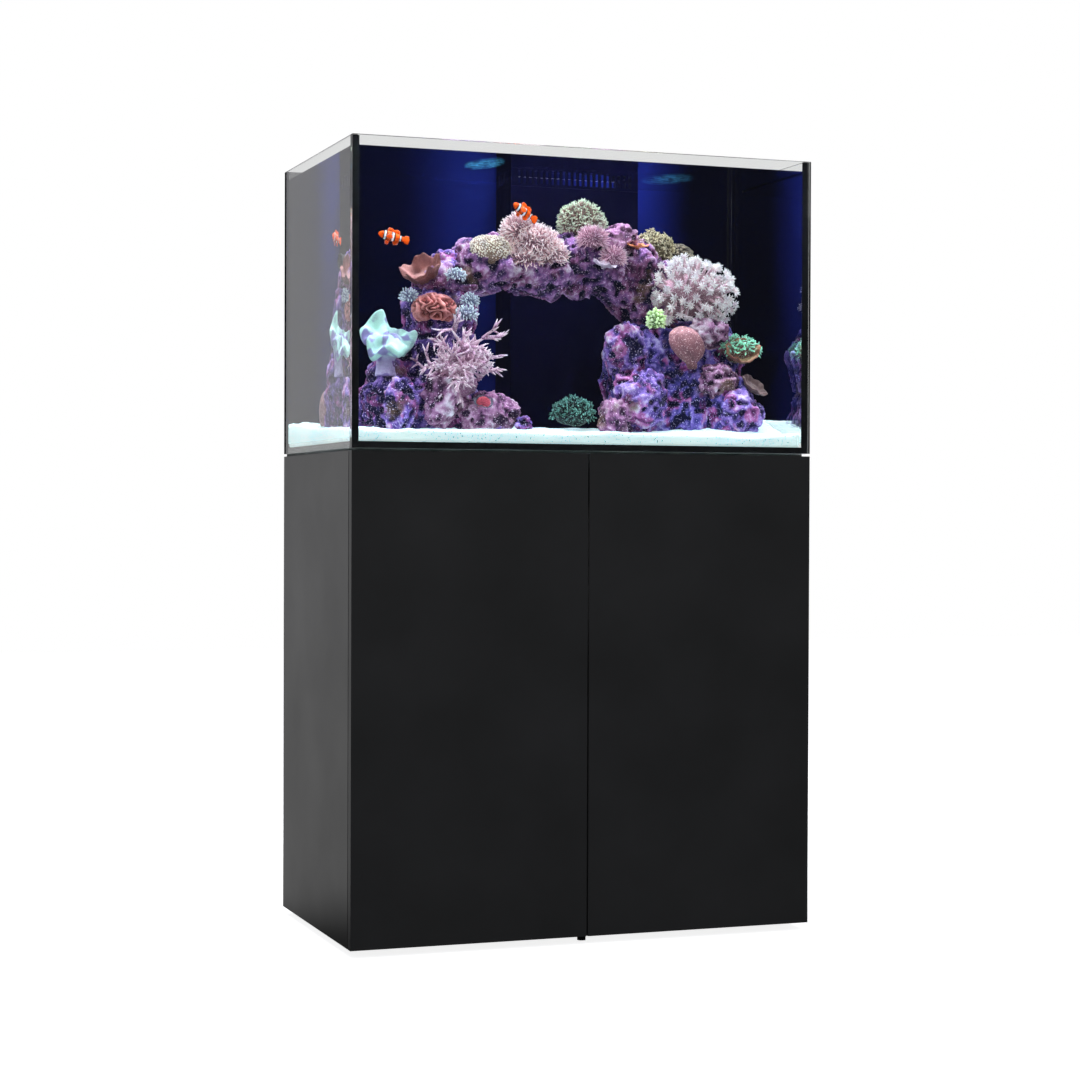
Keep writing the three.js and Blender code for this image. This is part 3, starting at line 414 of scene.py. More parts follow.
STRIP = 0.0003
# Painted shade: a thin strip of the rear pane's paint over each side pane's rear end keeps that glass end
# dark.
for side_name in ("left", "right"):
    pane_low, pane_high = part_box(f"tank_{side_name}_glass")
    x0, x1, y = pane_low.x + 0.0002, pane_high.x - 0.0002, pane_high.y
    strip = [(x0, y - 0.0001), (x1, y - 0.0001), (x1, y + STRIP), (x0, y + STRIP)]
    piece(f"tank_{side_name}_end_painted_shade", *prism(strip, pane_low.z + 0.001, pane_high.z - 0.001), back_paint,
          smooth=False)


# ---------------------------------------------------------------- silicone
# Black silicone fills every glass joint and shows through the front pane as a dark border.

sealant, seal_tree, seal_shader = material("black_silicone_painted_rear_shade")
seal_shade = link_ramp(seal_tree, link_noise(seal_tree, 60, 3), [
    (0.3, (0.009, 0.010, 0.011)), (0.75, (0.016, 0.017, 0.018)),
])
# Painted shade: joints from 0.1 m behind the middle are darkened to 0.06 and tinted blue.
seal_rear_painted_shade = link_ramp(seal_tree, link_axis(seal_tree, "Y"), [
    (0.0, (1.0, 1.0, 1.0)), (0.1, (0.06, 0.06, 0.10)),
])
seal_shade = link_mix(seal_tree, 1.0, seal_shade, seal_rear_painted_shade, "MULTIPLY")
seal_tree.links.new(seal_shade, seal_shader.inputs["Base Color"])
seal_shader.inputs["Roughness"].default_value = 0.45
seal_shader.inputs["Specular IOR Level"].default_value = 0.05
link_bump(seal_tree, seal_shader, link_noise(seal_tree, 350, 2), 0.0002)
coat(["seam_silicone"], sealant)


# ---------------------------------------------------------------- water
# Sea water up to 18 mm below the rim, open above, with a low ripple from the return flow. It fills the
# tank round the overflow box, and its sides reach a little way into the glass, so that no air gap shows.

WATER_TOP, WATER_LOW = 1.442, 0.926
WATER_SIDE, WATER_FRONT, WATER_REAR = 0.4384, -0.2384, 0.243
WATER_INTO_BOX = 0.002
BOX_LOW, BOX_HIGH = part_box("weir_box")
notch_left, notch_right = BOX_LOW.x + WATER_INTO_BOX, BOX_HIGH.x - WATER_INTO_BOX
notch_front = BOX_LOW.y + WATER_INTO_BOX
water_outline = [
    (-WATER_SIDE, WATER_FRONT), (WATER_SIDE, WATER_FRONT), (WATER_SIDE, WATER_REAR),
    (notch_right, WATER_REAR), (notch_right, notch_front), (notch_left, notch_front),
    (notch_left, WATER_REAR), (-WATER_SIDE, WATER_REAR),
]
sea = clear("sea_water", (0.97, 0.99, 1.0), 1.333)
sea_tree = sea.node_tree
sea_top = link_math(sea_tree, "GREATER_THAN", link_axis(sea_tree, "Z"), WATER_TOP - 0.0002)
sea_ripple = link_math(sea_tree, "MULTIPLY", sea_top, link_noise(sea_tree, 22, 2))
link_bump(sea_tree, principled(sea), sea_ripple, 0.0022, 0.35)
piece("water", *prism(water_outline, WATER_LOW, WATER_TOP), sea, smooth=False)

# Two glowing films just under the surface are painted reflections: cyan streaks of light on the ripples'
# underside.
GLINT_LEVEL = WATER_TOP - 0.0012
GLINT_THICKNESS = 0.0003
glint, glint_tree, _ = material("ripple_glint")
glint_edge = glint_tree.nodes.new("ShaderNodeAttribute")
glint_edge.attribute_name = "tip"
glint_streak = link_ramp(glint_tree, link_noise(glint_tree, 70, 3, stretch=(0.45, 1.6, 1)), [
    (0.49, (0, 0, 0)), (0.54, (1, 1, 1)), (0.58, (0, 0, 0)),
])
glint_share = link_math(glint_tree, "MULTIPLY", glint_edge.outputs["Fac"], glint_streak)
glint_light = glint_tree.nodes.new("ShaderNodeEmission")
glint_light.inputs["Color"].default_value = (0.10, 0.55, 0.95, 1)
glint_light.inputs["Strength"].default_value = 1.1
glint_gap = glint_tree.nodes.new("ShaderNodeBsdfTransparent")
link_shaders(glint_tree, glint_share, glint_gap.outputs[0], glint_light.outputs[0])


def glint_patch(name, centre, radii, strength):
    """A thin closed film just under the surface whose streaks glow by the tip value, fading to its rim: a
    painted reflection.
    """
    rings, around = 16, 48
    r = np.linspace(0.05, 1, rings)
    a = np.linspace(0, 2 * np.pi, around, endpoint=False)
    rr, aa = np.meshgrid(r, a, indexing="ij")
    x, y = centre[0] + radii[0] * rr * np.cos(aa), centre[1] + radii[1] * rr * np.sin(aa)
    top = np.stack([x, y, np.full_like(x, GLINT_LEVEL)], -1).reshape(-1, 3)
    low = top - (0, 0, GLINT_THICKNESS)
    quads = grid_faces(rings, around, False, True)
    n = len(top)
    k = np.arange(around)
    k2 = (k + 1) % around
    rim, hub = (rings - 1) * around, 2 * n
    walls = np.stack([rim + k, n + rim + k, n + rim + k2, rim + k2], -1)
    caps = np.concatenate([
        np.stack([np.full(around, hub), k, k2], -1),
        np.stack([np.full(around, hub + 1), n + k2, n + k], -1),
    ])
    hubs = [(*centre, GLINT_LEVEL), (*centre, GLINT_LEVEL - GLINT_THICKNESS)]
    points = np.concatenate([top, low, hubs])
    fade = strength * (1 - rr.reshape(-1) ** 2)
    tips = np.concatenate([fade, fade, [strength, strength]])
    piece(name, points, [np.concatenate([quads, (n + quads)[:, ::-1], walls]), caps], glint, tip=tips)


glint_patch("ripple_glint_left", (-0.158, -0.06), (0.034, 0.10), 0.60)
glint_patch("ripple_glint_right", (0.236, 0.02), (0.050, 0.10), 0.16)


# ---------------------------------------------------------------- overflow
# A black acrylic box on the rear pane with a lift-off comb; behind it stand the drain standpipe and the
# return riser with its swivelling nozzle, each in a bulkhead fitting.

weir_acrylic = plastic("weir_acrylic", (0.0006, 0.0007, 0.0062), 0.4)
principled(weir_acrylic).inputs["Specular IOR Level"].default_value = 0.01
coat(["weir_box", "weir_comb"], weir_acrylic, 0.0005)
coat(["drain_standpipe", "return_riser", "drain_bulkhead", "return_bulkhead"], grey_plastic, 0.0005)
coat(["return_nozzle"], black_plastic)


# ---------------------------------------------------------------- plumbing
# Grey pipes glued into the bulkheads' tails, with a gate valve in the drain to set its flow.

coat(["drain_pipe_upper", "drain_pipe_lower", "return_pipe", "gate_valve_body"], grey_plastic)
coat(["valve_handwheel"], plastic("red_plastic", (0.42, 0.02, 0.012), 0.3), 0.0008)


# ---------------------------------------------------------------- sump
# A small glass tank on the cabinet's base with a baffle, the filter sock on its shelf, the protein
# skimmer and the return pump.

sump_glass = clear("sump_glass", (0.97, 0.99, 0.98), 1.5)
coat(["sump_tank", "sump_baffle"], sump_glass, 0.0006)
acrylic = clear("clear_acrylic", (0.9, 0.95, 1.0), 1.47, 0.12)
coat(["sock_shelf", "skimmer_body", "skimmer_cup"], acrylic, 0.0006)
coat(["return_pump"], black_plastic, 0.002)
felt, felt_tree, felt_shader = material("sock_felt")
felt_fibres = link_noise(felt_tree, 900, 4)
felt_stain = link_noise(felt_tree, 18, 3)
felt_shade = link_ramp(felt_tree, felt_stain, [(0.3, (0.55, 0.5, 0.4)), (0.6, (0.8, 0.79, 0.74))])
felt_tree.links.new(felt_shade, felt_shader.inputs["Base Color"])
felt_shader.inputs["Roughness"].default_value = 0.95
link_bump(felt_tree, felt_shader, felt_fibres, 0.0005)
coat(["filter_sock"], felt)


# ---------------------------------------------------------------- sand
# White coral sand that slopes up towards the back, made brighter by a cyan-tinted glow that is painted light.

def lattice(i, j, k, seed):
    """A repeatable value from 0 to 1 for each whole-number corner of a grid."""
    n = (i * 73856093) ^ (j * 19349663) ^ (k * 83492791) ^ (seed * 2654435761)
    n = (n ^ (n >> 13)) * 1274126177 & 0xFFFFFFFF
    return ((n ^ (n >> 16)) & 0xFFFF) / 65535.0


def noise(points, scale, seed=0, octaves=3):
    """Smooth values from about -1 to 1 at the points: eased blends of grid values, halved each octave."""
    total, strength = np.zeros(len(points)), 1.0
    for octave in range(octaves):
        p = np.asarray(points) / scale * 2 ** octave
        cell = np.floor(p).astype(np.int64)
        f = p - cell
        f = f * f * (3 - 2 * f)
        value = 0.0
        for a in (0, 1):
            for b in (0, 1):
                for c in (0, 1):
                    weight = (f[:, 0] if a else 1 - f[:, 0]) * (f[:, 1] if b else 1 - f[:, 1])
                    weight = weight * (f[:, 2] if c else 1 - f[:, 2])
                    corner = lattice(cell[:, 0] + a, cell[:, 1] + b, cell[:, 2] + c, seed + octave)
                    value = value + weight * corner
        total += strength * (2 * value - 1)
        strength *= 0.5
    return total


def remeshed(node, cell):
    """Points, outward normals and faces of a CAD node's surface rebuilt in cells of one size."""
    source = bpy.data.objects.new("remesh_source", CAD[node].data.copy())
    bpy.context.collection.objects.link(source)
    change = source.modifiers.new("cells", "REMESH")
    change.mode = "VOXEL"
    change.voxel_size = cell
    shown = source.evaluated_get(bpy.context.evaluated_depsgraph_get())
    mesh = bpy.data.meshes.new_from_object(shown)
    bpy.data.objects.remove(source)
    points = np.empty(len(mesh.vertices) * 3)
    mesh.vertices.foreach_get("co", points)
    normals = np.empty(len(mesh.vertices) * 3)
    mesh.vertices.foreach_get("normal", normals)
    faces = np.empty(len(mesh.loops), np.int32)
    mesh.loops.foreach_get("vertex_index", faces)
    return points.reshape(-1, 3), normals.reshape(-1, 3), faces.reshape(-1, 4)


sand, sand_tree, sand_shader = material("white_sand_painted_glow")
sand_grain = link_noise(sand_tree, 300, 3, 0.7)
sand_patch = link_noise(sand_tree, 14, 4)
sand_speck = link_ramp(sand_tree, sand_grain, [(0.34, (0.10, 0.11, 0.14)), (0.42, (0.84, 0.95, 0.94))])
sand_shade = link_mix(sand_tree, 1.0, sand_speck, link_ramp(sand_tree, sand_patch, [
    (0.35, (0.80, 0.86, 0.92)), (0.65, (1.0, 1.0, 1.0)),
]), "MULTIPLY")
sand_tree.links.new(sand_shade, sand_shader.inputs["Base Color"])
# Painted light: the sand glows at 0.70 in its own colour tinted cyan.
sand_tree.links.new(link_mix(sand_tree, 1.0, sand_shade, (0.86, 1.0, 0.97), "MULTIPLY"),
                    sand_shader.inputs["Emission Color"])
sand_shader.inputs["Emission Strength"].default_value = 0.70
sand_shader.inputs["Roughness"].default_value = 0.9
link_bump(sand_tree, sand_shader, sand_grain, 0.0012)
sand_points, sand_normals, sand_faces = remeshed("sand_bed", 0.0035)
sand_right = np.clip((sand_points[:, 0] - 0.16) / 0.16, 0, 1)
sand_right = sand_right * np.clip((sand_points[:, 1] + 0.17) / 0.15, 0, 1)
sand_lift = 0.0012 * noise(sand_points, 0.02, 3) + 0.0030 * noise(sand_points, 0.07, 8, 2)
sand_lift = sand_lift + 0.020 * sand_right
sand_lift *= sand_normals[:, 2] > 0.3
sand_points[:, 2] += sand_lift
sand_piece = piece("sand", sand_points, sand_faces, sand)
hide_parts("sand_bed")


# ---------------------------------------------------------------- live rock
# Three rocks glued into an arch, pitted and crusted with purple, lilac and pink coralline algae.

def rock_finish(name, deep, mid, crust, light, seed):
    """Crusted rock coloured by the tip value: painted shade darkens its pits and a painted highlight pales
    its knobs.
    Patches of another crust, brown stains and fine pale specks are its own; it glows faintly, painted light."""
    made, tree, shader = material(name)
    height = tree.nodes.new("ShaderNodeAttribute")
    height.attribute_name = "tip"
    spot = tree.nodes.new("ShaderNodeTexCoord")
    moved = tree.nodes.new("ShaderNodeMapping")
    moved.inputs["Location"].default_value = (seed * 0.37, seed * 0.11, seed * 0.23)
    tree.links.new(spot.outputs["Object"], moved.inputs[0])
    values = []
    for scale, detail in ((24, 5), (60, 6), (330, 3), (15, 4)):
        texture = tree.nodes.new("ShaderNodeTexNoise")
        texture.inputs["Scale"].default_value = scale
        texture.inputs["Detail"].default_value = detail
        tree.links.new(moved.outputs[0], texture.inputs["Vector"])
        values.append(texture.outputs["Fac"])
    patch, mottle, grain, wide = values
    relief = link_math(tree, "ADD", link_math(tree, "MULTIPLY", mottle, 0.9), -0.45)
    level = link_math(tree, "ADD", relief, height.outputs["Fac"])
    # Painted shade and highlight: deep sits in the pits and light on the knobs, by how far each point stands
    # proud.
    base = link_ramp(tree, level, [(0.26, deep), (0.50, mid), (0.74, crust), (1.0, light)])
    other = link_ramp(tree, level, [
        (0.26, deep), (0.48, (mid[2] * 0.7, mid[1] * 0.7, mid[2] * 0.6)),
        (0.72, (crust[2] * 0.85, crust[1] * 0.8, crust[2] * 0.7)), (1.0, (0.66, 0.62, 0.70)),
    ])
    shade = link_mix(tree, link_ramp(tree, patch, [(0.50, (0, 0, 0)), (0.57, (1, 1, 1))]), base, other)
    stain = link_ramp(tree, wide, [(0.60, (0, 0, 0)), (0.68, (0.8, 0.8, 0.8))])
    shade = link_mix(tree, stain, shade, (0.13, 0.075, 0.045))
    specks = link_ramp(tree, grain, [(0.60, (0, 0, 0)), (0.68, (0.9, 0.9, 0.9))])
    shade = link_mix(tree, specks, shade, light)
    tree.links.new(shade, shader.inputs["Base Color"])
    tree.links.new(shade, shader.inputs["Emission Color"])
    # Painted light: a faint glow in the rock's own colour.
    shader.inputs["Emission Strength"].default_value = 0.05
    shader.inputs["Roughness"].default_value = 0.7
    shader.inputs["Specular IOR Level"].default_value = 0.12
    link_bump(tree, shader, link_math(tree, "ADD", link_math(tree, "MULTIPLY", grain, 0.35), mottle), 0.0060)
    return made


def crag(points, normals, seed, strength=1.0):
    """Pushes points along their normals by lumps 48 mm, sharp ridges 20 mm and grit 6 mm across, and digs
    round holes 13 mm across. Returns the points and how far each stands proud, from 0 to 1."""
    lumps = 0.0085 * noise(points, 0.048, seed, 2)
    knobs = 0.0080 * (0.42 - np.abs(noise(points, 0.020, seed + 7, 3)))
    grit = 0.0017 * noise(points, 0.006, seed + 11, 2)
    holes = -0.0085 * np.clip((noise(points, 0.013, seed + 17, 1) - 0.40) / 0.20, 0, 1)
    proud = np.clip(0.5 + 70 * (knobs + grit + holes) + 26 * lumps, 0, 1)
    return points + normals * (strength * (lumps + knobs + grit + holes))[:, None], proud


ROCK_CELL, ROCK_LOW = 0.0029, 0.930


def rough_rock(name, node, made, seed):
    """The CAD rock, cut into small cells, made craggy and kept off the bottom pane."""
    points, normals, faces = remeshed(node, ROCK_CELL)
    points, proud = crag(points, normals, seed)
    points[:, 2] = np.maximum(points[:, 2], ROCK_LOW)
    made_object = piece(name, points, faces, made, tip=proud)
    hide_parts(node)
    return made_object


rough_rock("live_rock_left", "rock_left", rock_finish(
    "rock_left_crust_and_pit_shade",
    (0.006, 0.005, 0.030), (0.055, 0.034, 0.170), (0.22, 0.12, 0.40), (0.58, 0.46, 0.72), 1), 1)
rough_rock("live_rock_bridge", "rock_bridge", rock_finish(
    "rock_bridge_crust_and_pit_shade",
    (0.006, 0.005, 0.024), (0.075, 0.036, 0.130), (0.28, 0.12, 0.30), (0.60, 0.46, 0.62), 2), 2)
rough_rock("live_rock_right", "rock_right", rock_finish(
    "rock_right_crust_and_pit_shade",
    (0.005, 0.005, 0.034), (0.045, 0.038, 0.200), (0.18, 0.12, 0.46), (0.50, 0.44, 0.76), 3), 3)


# ---------------------------------------------------------------- leather coral
# A soft mushroom-shaped coral: a cap with a deeply folded rim on a thick lilac stalk.

def flesh(name, root, middle, end, glow=0.06, speck=None, speckle=900, rough=0.45):
    """Coral flesh: coloured from root to end by the tip value, blotched, finely specked, faintly glowing."""
    made, tree, shader = material(name)
    along = tree.nodes.new("ShaderNodeAttribute")
    along.attribute_name = "tip"
    shade = link_ramp(tree, along.outputs["Fac"], [(0.05, root), (0.55, middle), (0.97, end)])
    blotch = link_noise(tree, 55, 4)
    dull = link_ramp(tree, blotch, [(0.32, (0.62, 0.60, 0.66)), (0.62, (1, 1, 1))])
    shade = link_mix(tree, 1.0, shade, dull, "MULTIPLY")
    grain = link_noise(tree, speckle, 2)
    spots = link_ramp(tree, grain, [(0.60, (0, 0, 0)), (0.68, (1, 1, 1))])
    shade = link_mix(tree, spots, shade, speck or tuple(min(1.0, c * 1.25) for c in end))
    tree.links.new(shade, shader.inputs["Base Color"])
    tree.links.new(shade, shader.inputs["Emission Color"])
    shader.inputs["Emission Strength"].default_value = glow
    shader.inputs["Roughness"].default_value = rough
    shader.inputs["Specular IOR Level"].default_value = 0.15
    link_bump(tree, shader, grain, 0.0004)
    return made


def turned_surface(profile, columns, shape):
    """A closed skin round the vertical axis: profile is (radius, height) pairs from the bottom pole to the
    top pole, and shape(radius, height, angle, share along) gives x, y, z. Poles are closed with triangles."""
    profile = np.asarray(profile, float)
    share = np.linspace(0, 1, len(profile))
    angle = np.linspace(0, 2 * np.pi, columns, endpoint=False)
    body = profile[1:-1]
    r, a = np.meshgrid(body[:, 0], angle, indexing="ij")
    h = np.repeat(body[:, 1][:, None], columns, 1)
    s = np.repeat(share[1:-1][:, None], columns, 1)
    points = np.stack(shape(r, h, a, s), -1).reshape(-1, 3)
    low = points[:columns].mean(0)
    high = points[-columns:].mean(0)
    low[2] = min(low[2], profile[0, 1])
    high[2] = max(high[2], profile[-1, 1])
    points = np.concatenate([points, [low], [high]])
    quads = grid_faces(len(body), columns, False, True)
    ring = np.arange(columns)
    nxt = (ring + 1) % columns
    first, last = len(points) - 2, len(points) - 1
    top = (len(body) - 1) * columns
    caps = np.concatenate([
        np.stack([nxt, ring, np.full(columns, first)], -1),
        np.stack([top + ring, top + nxt, np.full(columns, last)], -1),
    ])
    tips = np.concatenate([s.reshape(-1), [0.0], [1.0]])
    return points, [quads, caps], tips


def smooth_profile(pairs, count):
    """Points spread evenly along a rounded line through (radius, height) pairs."""
    pairs = np.asarray(pairs, float)
    steps = np.concatenate([[0], np.cumsum(np.hypot(*np.diff(pairs, axis=0).T))])
    fine = np.linspace(0, steps[-1], count * 4)
    x, y = np.interp(fine, steps, pairs[:, 0]), np.interp(fine, steps, pairs[:, 1])
    kernel = np.hanning(max(5, count // 3 | 1))
    kernel /= kernel.sum()
    pad = len(kernel) // 2
    x = np.convolve(np.pad(x, pad, "edge"), kernel, "valid")
    y = np.convolve(np.pad(y, pad, "edge"), kernel, "valid")
    picked = np.linspace(0, len(x) - 1, count).astype(int)
    return np.stack([x[picked], y[picked]], -1)


def leather_shape(r, h, a, s):
    """The cap leans towards the front; its rim is thrown into deep folds, one of them a tall point."""
    rim = np.clip((r - 0.016) / 0.032, 0, 1) ** 1.5 * np.clip((s - 0.40) / 0.1, 0, 1)
    peak = np.exp(-((np.angle(np.exp(1j * (a - 2.0)))) / 0.42) ** 2)
    wave = 0.50 * np.sin(4 * a + 0.6) + 0.34 * np.sin(7 * a + 2.0) + 0.16 * np.sin(12 * a + 1.0)
    out = r * (1 + 0.16 * rim * np.sin(5 * a + 1.2) + 0.20 * rim * peak)
    inner = 0.0045 * np.clip((s - 0.62) / 0.2, 0, 1) * np.sin(a * 3 + 150 * r) * np.clip(r / 0.02, 0, 1)
    rise = h + 0.0165 * rim * wave + 0.024 * rim * peak + inner
    p = np.stack([out * np.cos(a), 0.84 * out * np.sin(a), rise], -1)
    lean = math.radians(38) * np.clip((s - 0.25) / 0.30, 0, 1)
    y, z = p[..., 1], p[..., 2] - 1.096
    p[..., 1], p[..., 2] = y * np.cos(lean) - z * np.sin(lean), 1.096 + z * np.cos(lean) + y * np.sin(lean)
    return -0.344 + 0.88 * p[..., 0], -0.052 + p[..., 1], p[..., 2]


def leather_flesh():
    """Mint-white cap with dark lilac patches, painted shade for its hollows, and a lilac-white stalk; fine
    pores all over.
    """
    made = flesh("leather_flesh", (0.46, 0.38, 0.60), (0.36, 0.62, 0.56), (0.50, 0.80, 0.70), 0.05,
                 (0.72, 0.90, 0.84), 1300)
    tree = made.node_tree
    shader = principled(made)
    shade = shader.inputs["Base Color"].links[0].from_socket
    # Painted shade: dark lilac patches placed by noise stand in for the shade in the cap's folds.
    fold_shade = link_ramp(tree, link_noise(tree, 40, 1), [(0.53, (0, 0, 0)), (0.60, (0.9, 0.9, 0.9))])
    shade = link_mix(tree, fold_shade, shade, (0.20, 0.15, 0.36))
    tree.links.new(shade, shader.inputs["Base Color"])
    tree.links.new(shade, shader.inputs["Emission Color"])
    return made


leather_line = smooth_profile([
    (0.0, 1.040), (0.026, 1.042), (0.023, 1.056), (0.021, 1.074), (0.028, 1.090), (0.050, 1.102),
    (0.056, 1.111), (0.051, 1.119), (0.033, 1.120), (0.015, 1.124), (0.0, 1.125),
], 110)
leather_points, leather_faces, leather_tips = turned_surface(leather_line, 160, leather_shape)
leather_tips = np.clip(2.2 * (leather_tips - 0.30), 0, 1)
leather = piece("leather_coral_folded", leather_points, leather_faces, leather_flesh(), tip=leather_tips)
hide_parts("leather_coral")


# ---------------------------------------------------------------- tentacle colonies
# Anemone, bush, torch, tufts and frogspawn: a fleshy mound set all over with short soft tentacles.

def spread(count, seed):
    """Directions spread evenly over a sphere by the golden angle, each nudged a little."""
    rng = np.random.default_rng(seed)
    i = np.arange(count) + 0.5
    z = 1 - 2 * i / count
    a = np.pi * (1 + 5 ** 0.5) * i
    flat = np.sqrt(1 - z * z)
    points = np.stack([flat * np.cos(a), flat * np.sin(a), z], -1)
    points += rng.normal(0, 0.35 / count ** 0.5, points.shape)
    return points / np.linalg.norm(points, axis=1)[:, None]


def tubes(starts, directions, lengths, radii, sides=6, droop=0.25, bulb=1.25, seed=0, sections=5):
    """Closed tapering tubes, one from each start along its direction, curling at random and ending in a
    rounded bulb. Returns points, faces and tip values."""
    rng = np.random.default_rng(seed)
    n = len(starts)
    curl = rng.normal(0, 1, (n, 3))
    curl -= (curl * directions).sum(1)[:, None] * directions
    curl /= np.linalg.norm(curl, axis=1)[:, None] + 1e-9
    side = curl
    other = np.cross(directions, side)
    angle = np.linspace(0, 2 * np.pi, sides, endpoint=False)
    stations = np.linspace(0, 1, sections)
    width = np.interp(stations, [0, 0.55, 0.85, 1.0], [1.0, 0.72, bulb * 0.8, bulb * 0.35])
    rings = []
    for t, w in zip(stations, width):
        centre = starts + directions * (lengths * t)[:, None] + curl * (lengths * droop * t * t)[:, None]
        ring = np.cos(angle)[None, :, None] * side[:, None, :]
        ring = ring + np.sin(angle)[None, :, None] * other[:, None, :]
        rings.append(centre[:, None, :] + ring * (radii * w)[:, None, None])
    body = np.stack(rings, 1).reshape(n, -1, 3)
    base = starts - directions * (radii * 0.5)[:, None]
    top = starts + directions * (lengths * 1.04)[:, None] + curl * (lengths * droop * 1.06)[:, None]
    points = np.concatenate([body, base[:, None], top[:, None]], 1)
    quads = grid_faces(sections, sides, False, True)
    k = np.arange(sides)
    k2 = (k + 1) % sides
    first, last, end = sections * sides, sections * sides + 1, (sections - 1) * sides
    caps = np.concatenate([
        np.stack([k2, k, np.full(sides, first)], -1),
        np.stack([end + k, end + k2, np.full(sides, last)], -1),
    ])
    each = points.shape[1]
    offsets = (np.arange(n) * each)[:, None, None]
    tips = np.concatenate([np.repeat(stations, sides), [0.0, 1.0]])
    faces = [(quads[None] + offsets).reshape(-1, 4), (caps[None] + offsets).reshape(-1, 3)]
    return points.reshape(-1, 3), faces, np.tile(tips, n)


def merged(parts):
    """Several (points, faces, tips) sets as one."""
    points, quads, tris, tips, start = [], [], [], [], 0
    for p, faces, t in parts:
        points.append(np.asarray(p, float))
        tips.append(t)
        for f in faces:
            (quads if f.shape[1] == 4 else tris).append(f + start)
        start += len(p)
    faces = [np.concatenate(group) for group in (quads, tris) if group]
    return np.concatenate(points), faces, np.concatenate(tips)


def mound(centre, radii, seed=0, rough=0.12, rows=20, columns=32, tip=0.0):
    """A closed lumpy ellipsoid: (points, faces, tips)."""
    profile = [(math.sin(t), -math.cos(t)) for t in np.linspace(0, math.pi, rows)]

    def shape(r, h, a, s):
        p = np.stack([r * np.cos(a), r * np.sin(a), h], -1).reshape(-1, 3)
        p = p * (1 + rough * noise(p + seed * 3.1, 0.45, seed, 3))[:, None]
        p = p * np.array(radii) + np.array(centre)
        return p[:, 0].reshape(r.shape), p[:, 1].reshape(r.shape), p[:, 2].reshape(r.shape)

    points, faces, tips = turned_surface(profile, columns, shape)
    points[-2] = np.array(centre) - (0, 0, radii[2])
    points[-1] = np.array(centre) + (0, 0, radii[2])
    return points, faces, np.full(len(points), tip)


def tentacled(centre, radii, count, length, thick, seed, low=-0.35, sides=6, droop=0.3, bulb=1.25, core=0.72,
              lobes=0.0):
    """A lumpy core with tentacles over all of it that faces above the low share of its height."""
    radii = np.array(radii)
    away = spread(count, seed)
    away = away[away[:, 2] > low]
    rng = np.random.default_rng(seed + 50)
    swell = 1 + lobes * noise(away, 0.55, seed + 3, 2)
    starts = np.array(centre) + away * radii * (core * swell)[:, None]
    normals = away / radii
    normals /= np.linalg.norm(normals, axis=1)[:, None]
    lengths = length * rng.uniform(0.75, 1.15, len(away)) * swell
    wide = thick * rng.uniform(0.85, 1.15, len(away))
    arms = tubes(starts, normals, lengths, wide, sides, droop, bulb, seed)
    return merged([mound(centre, radii * (core + 0.03), seed, 0.06 + 0.5 * lobes, 18, 28), arms])


def colony(name, centre, radii, count, length, thick, made, seed, low=-0.35, sides=6, droop=0.3, bulb=1.25,
           core=0.72, lobes=0.0):
    """One tentacled mound as a piece of its own."""
    points, faces, tips = tentacled(centre, radii, count, length, thick, seed, low, sides, droop, bulb,
                                    core, lobes)
    return piece(name, points, faces, made, tip=tips)


def clump(name, mounds, made, seed, low, sides, droop, bulb, lobes=0.08):
    """Several tentacled mounds as one piece; each mound is (centre, radii, count, length, thickness)."""
    parts = []
    for i, (centre, radii, count, length, thick) in enumerate(mounds):
        parts.append(tentacled(centre, radii, count, length, thick, seed + i, low, sides, droop, bulb,
                               0.80, lobes))
    points, faces, tips = merged(parts)
    return piece(name, points, faces, made, tip=tips)


anemone_flesh = flesh("anemone_flesh", (0.22, 0.10, 0.14), (0.76, 0.46, 0.47), (1.0, 0.93, 0.92), 0.18)
anemone = clump("anemone_frilly", [
    ((-0.078, -0.024, 1.318), (0.034, 0.034, 0.032), 620, 0.0150, 0.00135),
    ((-0.050, -0.030, 1.296), (0.048, 0.044, 0.034), 800, 0.0150, 0.00135),
    ((-0.022, -0.022, 1.280), (0.038, 0.046, 0.026), 560, 0.0145, 0.00135),
    ((-0.072, -0.024, 1.268), (0.040, 0.048, 0.020), 420, 0.0130, 0.00135),
], anemone_flesh, 11, -0.6, 5, 0.55, 1.3)
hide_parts("anemone")


def pompons(centre, radii, count, stalk, seed, arms=11, spike=0.0105, low=-0.75):
    """A mound of stalks, each ending in a round head of short pointed tentacles."""
    radii = np.array(radii)
    rng = np.random.default_rng(seed)
    away = spread(count, seed)
    away = away[away[:, 2] > low]
    normals = away / radii
    normals /= np.linalg.norm(normals, axis=1)[:, None]
    starts = np.array(centre) + away * radii * 0.60
    lengths = stalk * rng.uniform(0.8, 1.25, len(away))
    stalks = tubes(starts, normals, lengths, np.full(len(away), 0.0034), 7, 0.25, 1.3, seed)
    stalks[2][:] = stalks[2] * 0.55
    heads = starts + normals * lengths[:, None]
    tufts = spread(arms * 2, seed + 1)
    ways, roots = [], []
    for head, normal in zip(heads, normals):
        spin = np.array(Matrix.Rotation(rng.uniform(0, 6.28), 3, "Z"))
        fan = tufts @ spin.T
        fan = fan + 0.75 * normal
        fan /= np.linalg.norm(fan, axis=1)[:, None]
        ways.append(fan)
        roots.append(np.repeat(head[None], len(fan), 0))
    ways, roots = np.concatenate(ways), np.concatenate(roots)
    n = len(ways)
    reach = spike * rng.uniform(0.8, 1.15, n)
    spikes = tubes(roots, ways, reach, np.full(n, 0.0015), 5, 0.2, 0.9, seed + 2, 4)
    spikes[2][:] = 0.55 + 0.45 * spikes[2]
    return merged([mound(centre, radii * 0.66, seed, 0.1, 18, 28), stalks, spikes])


